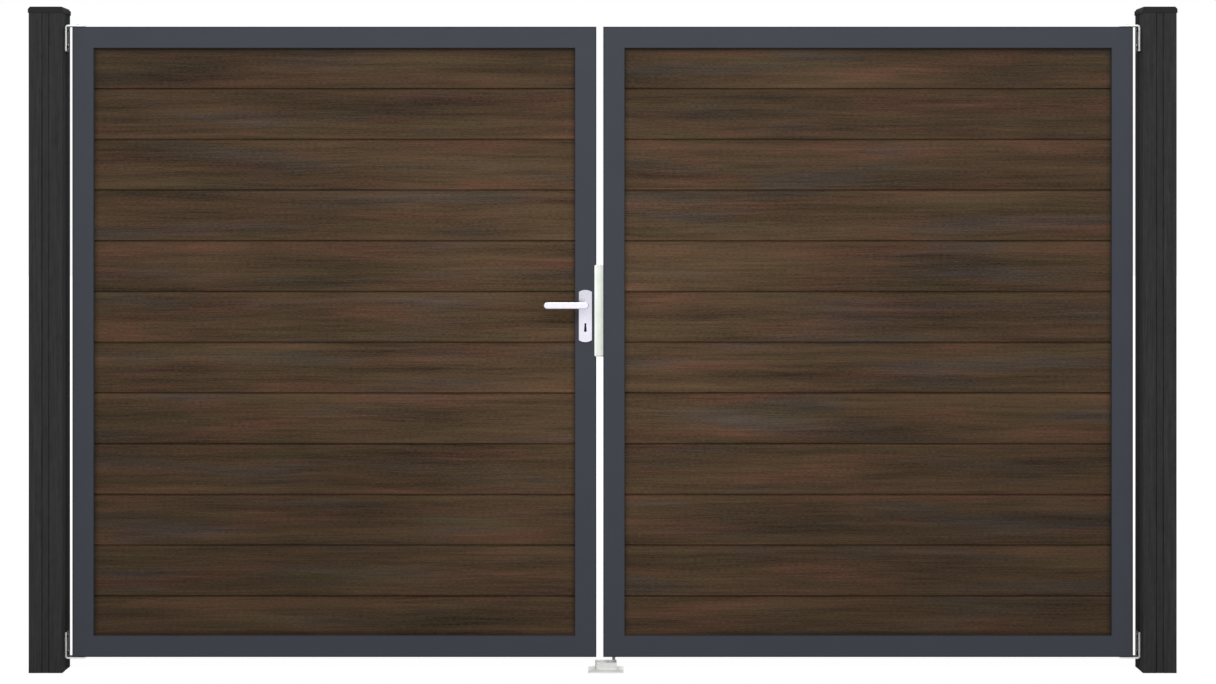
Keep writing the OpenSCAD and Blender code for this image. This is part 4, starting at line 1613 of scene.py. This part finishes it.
@dataclass
class Studio:
    """The pale floor and backdrop, the plain soft light and the camera.

    Attributes:
        stage_half: Half the floor's width.
        ambient: The strength of the light from all round.
        floor_colour: The floor's colour.
        veil: The share of plain white in what is seen of the floor near the gate.
        veil_light: The strength of that white.
        veil_ends: Where the white begins to rise to 1 and where it gets there, along X and along Y.
        eye: Where the camera stands.
        lens: Its focal length in millimetres on a sensor of 36.
        shift: How far its picture is shifted sideways and upwards.
        lamp_place: Where the back softbox stands; the front one mirrors it.
        lamp_aim: The height over the ground at which both point.
        lamp_size: Their width and height.
        powers: The power of the front and of the back one in watts.
    """

    stage_half: float = 40.0
    ambient: float = 0.30
    floor_colour: Colour = (0.92, 0.92, 0.92)
    veil: float = 0.76
    veil_light: float = 1.18
    veil_ends: tuple[tuple[float, float], tuple[float, float]] = ((2.5, 5.0), (2.0, 4.5))
    eye: tuple[float, float, float] = (0.0, -6.442, 1.309)
    lens: float = 66.6
    shift: tuple[float, float] = (0.0044, -0.1064)
    lamp_place: tuple[float, float, float] = (0.0, 5.6, 4.4)
    lamp_aim: float = 1.05
    lamp_size: tuple[float, float] = (6.0, 3.0)
    powers: tuple[float, float] = (255.0, 200.0)

    def build(self) -> None:
        """Builds the whole studio."""
        self._camera()
        self._world()
        self._floor()
        x, y, z = self.lamp_place
        front, back = self.powers
        self._lamp("front softbox", Vector((x, -y, z)), front)
        self._lamp("back softbox", Vector((x, y, z)), back)
        bpy.context.scene.view_settings.view_transform = "Standard"

    def _camera(self) -> None:
        """A level camera on the photograph's axis."""
        lens = bpy.data.cameras.new("camera")
        lens.sensor_width = 36.0
        lens.lens = self.lens
        lens.shift_x, lens.shift_y = self.shift
        camera = bpy.data.objects.new("camera", lens)
        camera.location = self.eye
        camera.rotation_euler = (math.radians(90.0), 0.0, 0.0)
        bpy.context.scene.collection.objects.link(camera)
        bpy.context.scene.camera = camera

    def _seen(self, sheet: Sheet) -> Value:
        """Tells the rays in which the white shows from those that light the gate.

        Args:
            sheet: The sheet of the world or of the floor's material.

        Returns:
            1 for rays from the camera, from glossy surfaces and through clear ones, and 0 for others.
        """
        path = sheet.node("ShaderNodeLightPath")
        kinds = ("Camera", "Glossy", "Transmission")
        rays = [Value(sheet, path.outputs[f"Is {kind} Ray"]) for kind in kinds]
        return (rays[0] + rays[1] + rays[2]).ramp(0.0, 1.0)

    def _world(self) -> None:
        """A world that lights the gate plainly and looks white behind it."""
        world = bpy.data.worlds.new("room")
        bpy.context.scene.world = world
        sheet = Sheet(world)
        kind, white = "ShaderNodeBackground", (1.0, 1.0, 1.0)
        lit = sheet.value(kind, sockets={"Color": white, "Strength": self.ambient})
        seen = sheet.value(kind, sockets={"Color": white, "Strength": 1.0})
        both = sheet.value("ShaderNodeMixShader", sockets={0: self._seen(sheet), 1: lit, 2: seen})
        sheet.node("ShaderNodeOutputWorld", sockets={"Surface": both})

    def _floor(self) -> None:
        """A pale floor that looks almost white, and keeps the gate's soft shadow near the gate."""
        sheet = Sheet.named("pale_floor")
        matt = sheet.value("ShaderNodeBsdfDiffuse", sockets={"Color": self.floor_colour})
        glow = {"Color": (1.0, 1.0, 1.0), "Strength": self.veil_light}
        white = sheet.value("ShaderNodeEmission", sockets=glow)
        x, y, _ = sheet.parts(sheet.place())
        along, across = self.veil_ends
        away = x.size().ramp(*along).most(y.size().ramp(*across))
        share = self._seen(sheet) * (self.veil + away * (1.0 - self.veil))
        both = sheet.value("ShaderNodeMixShader", sockets={0: share, 1: matt, 2: white})
        sheet.node("ShaderNodeOutputMaterial", sockets={"Surface": both})
        half = self.stage_half
        mesh = bpy.data.meshes.new("floor")
        corners = [(-half, -half, 0), (half, -half, 0), (half, half, 0), (-half, half, 0)]
        mesh.from_pydata(corners, [], [(0, 1, 2, 3)])
        mesh.materials.append(sheet.owner)
        floor = bpy.data.objects.new("floor", mesh)
        bpy.context.scene.collection.objects.link(floor)

    def _lamp(self, name: str, place: Vector, power: float) -> None:
        """A rectangular softbox.

        Args:
            name: The lamp's name.
            place: Where it stands.
            power: Its power in watts.
        """
        light = bpy.data.lights.new(name, "AREA")
        light.shape = "RECTANGLE"
        light.size, light.size_y = self.lamp_size
        light.energy = power
        lamp = bpy.data.objects.new(name, light)
        lamp.location = place
        aim = Vector((0.0, 0.0, self.lamp_aim))
        lamp.rotation_euler = (aim - place).to_track_quat("-Z", "Y").to_euler()
        bpy.context.scene.collection.objects.link(lamp)


def main() -> None:
    """Loads the frame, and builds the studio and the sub-assemblies in order."""
    logging.basicConfig(level=logging.INFO, format="%(name)s: %(message)s")
    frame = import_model()
    Studio().build()
    shop = Workshop(frame["nodes"])
    shop.prepare(FINISHES)
    for part in (Posts(shop), Hinges(shop), Leaf(shop, Side.LEFT), Leaf(shop, Side.RIGHT),
                 Lock(shop), Keep(shop), DropBolt(shop), GroundStop(shop)):
        part.build()
        log.info("%s built", type(part).__name__)
    log.info("%d pieces made, %d nodes dressed", len(shop.made), len(shop.dressed))


if __name__ == "__main__":
    main()
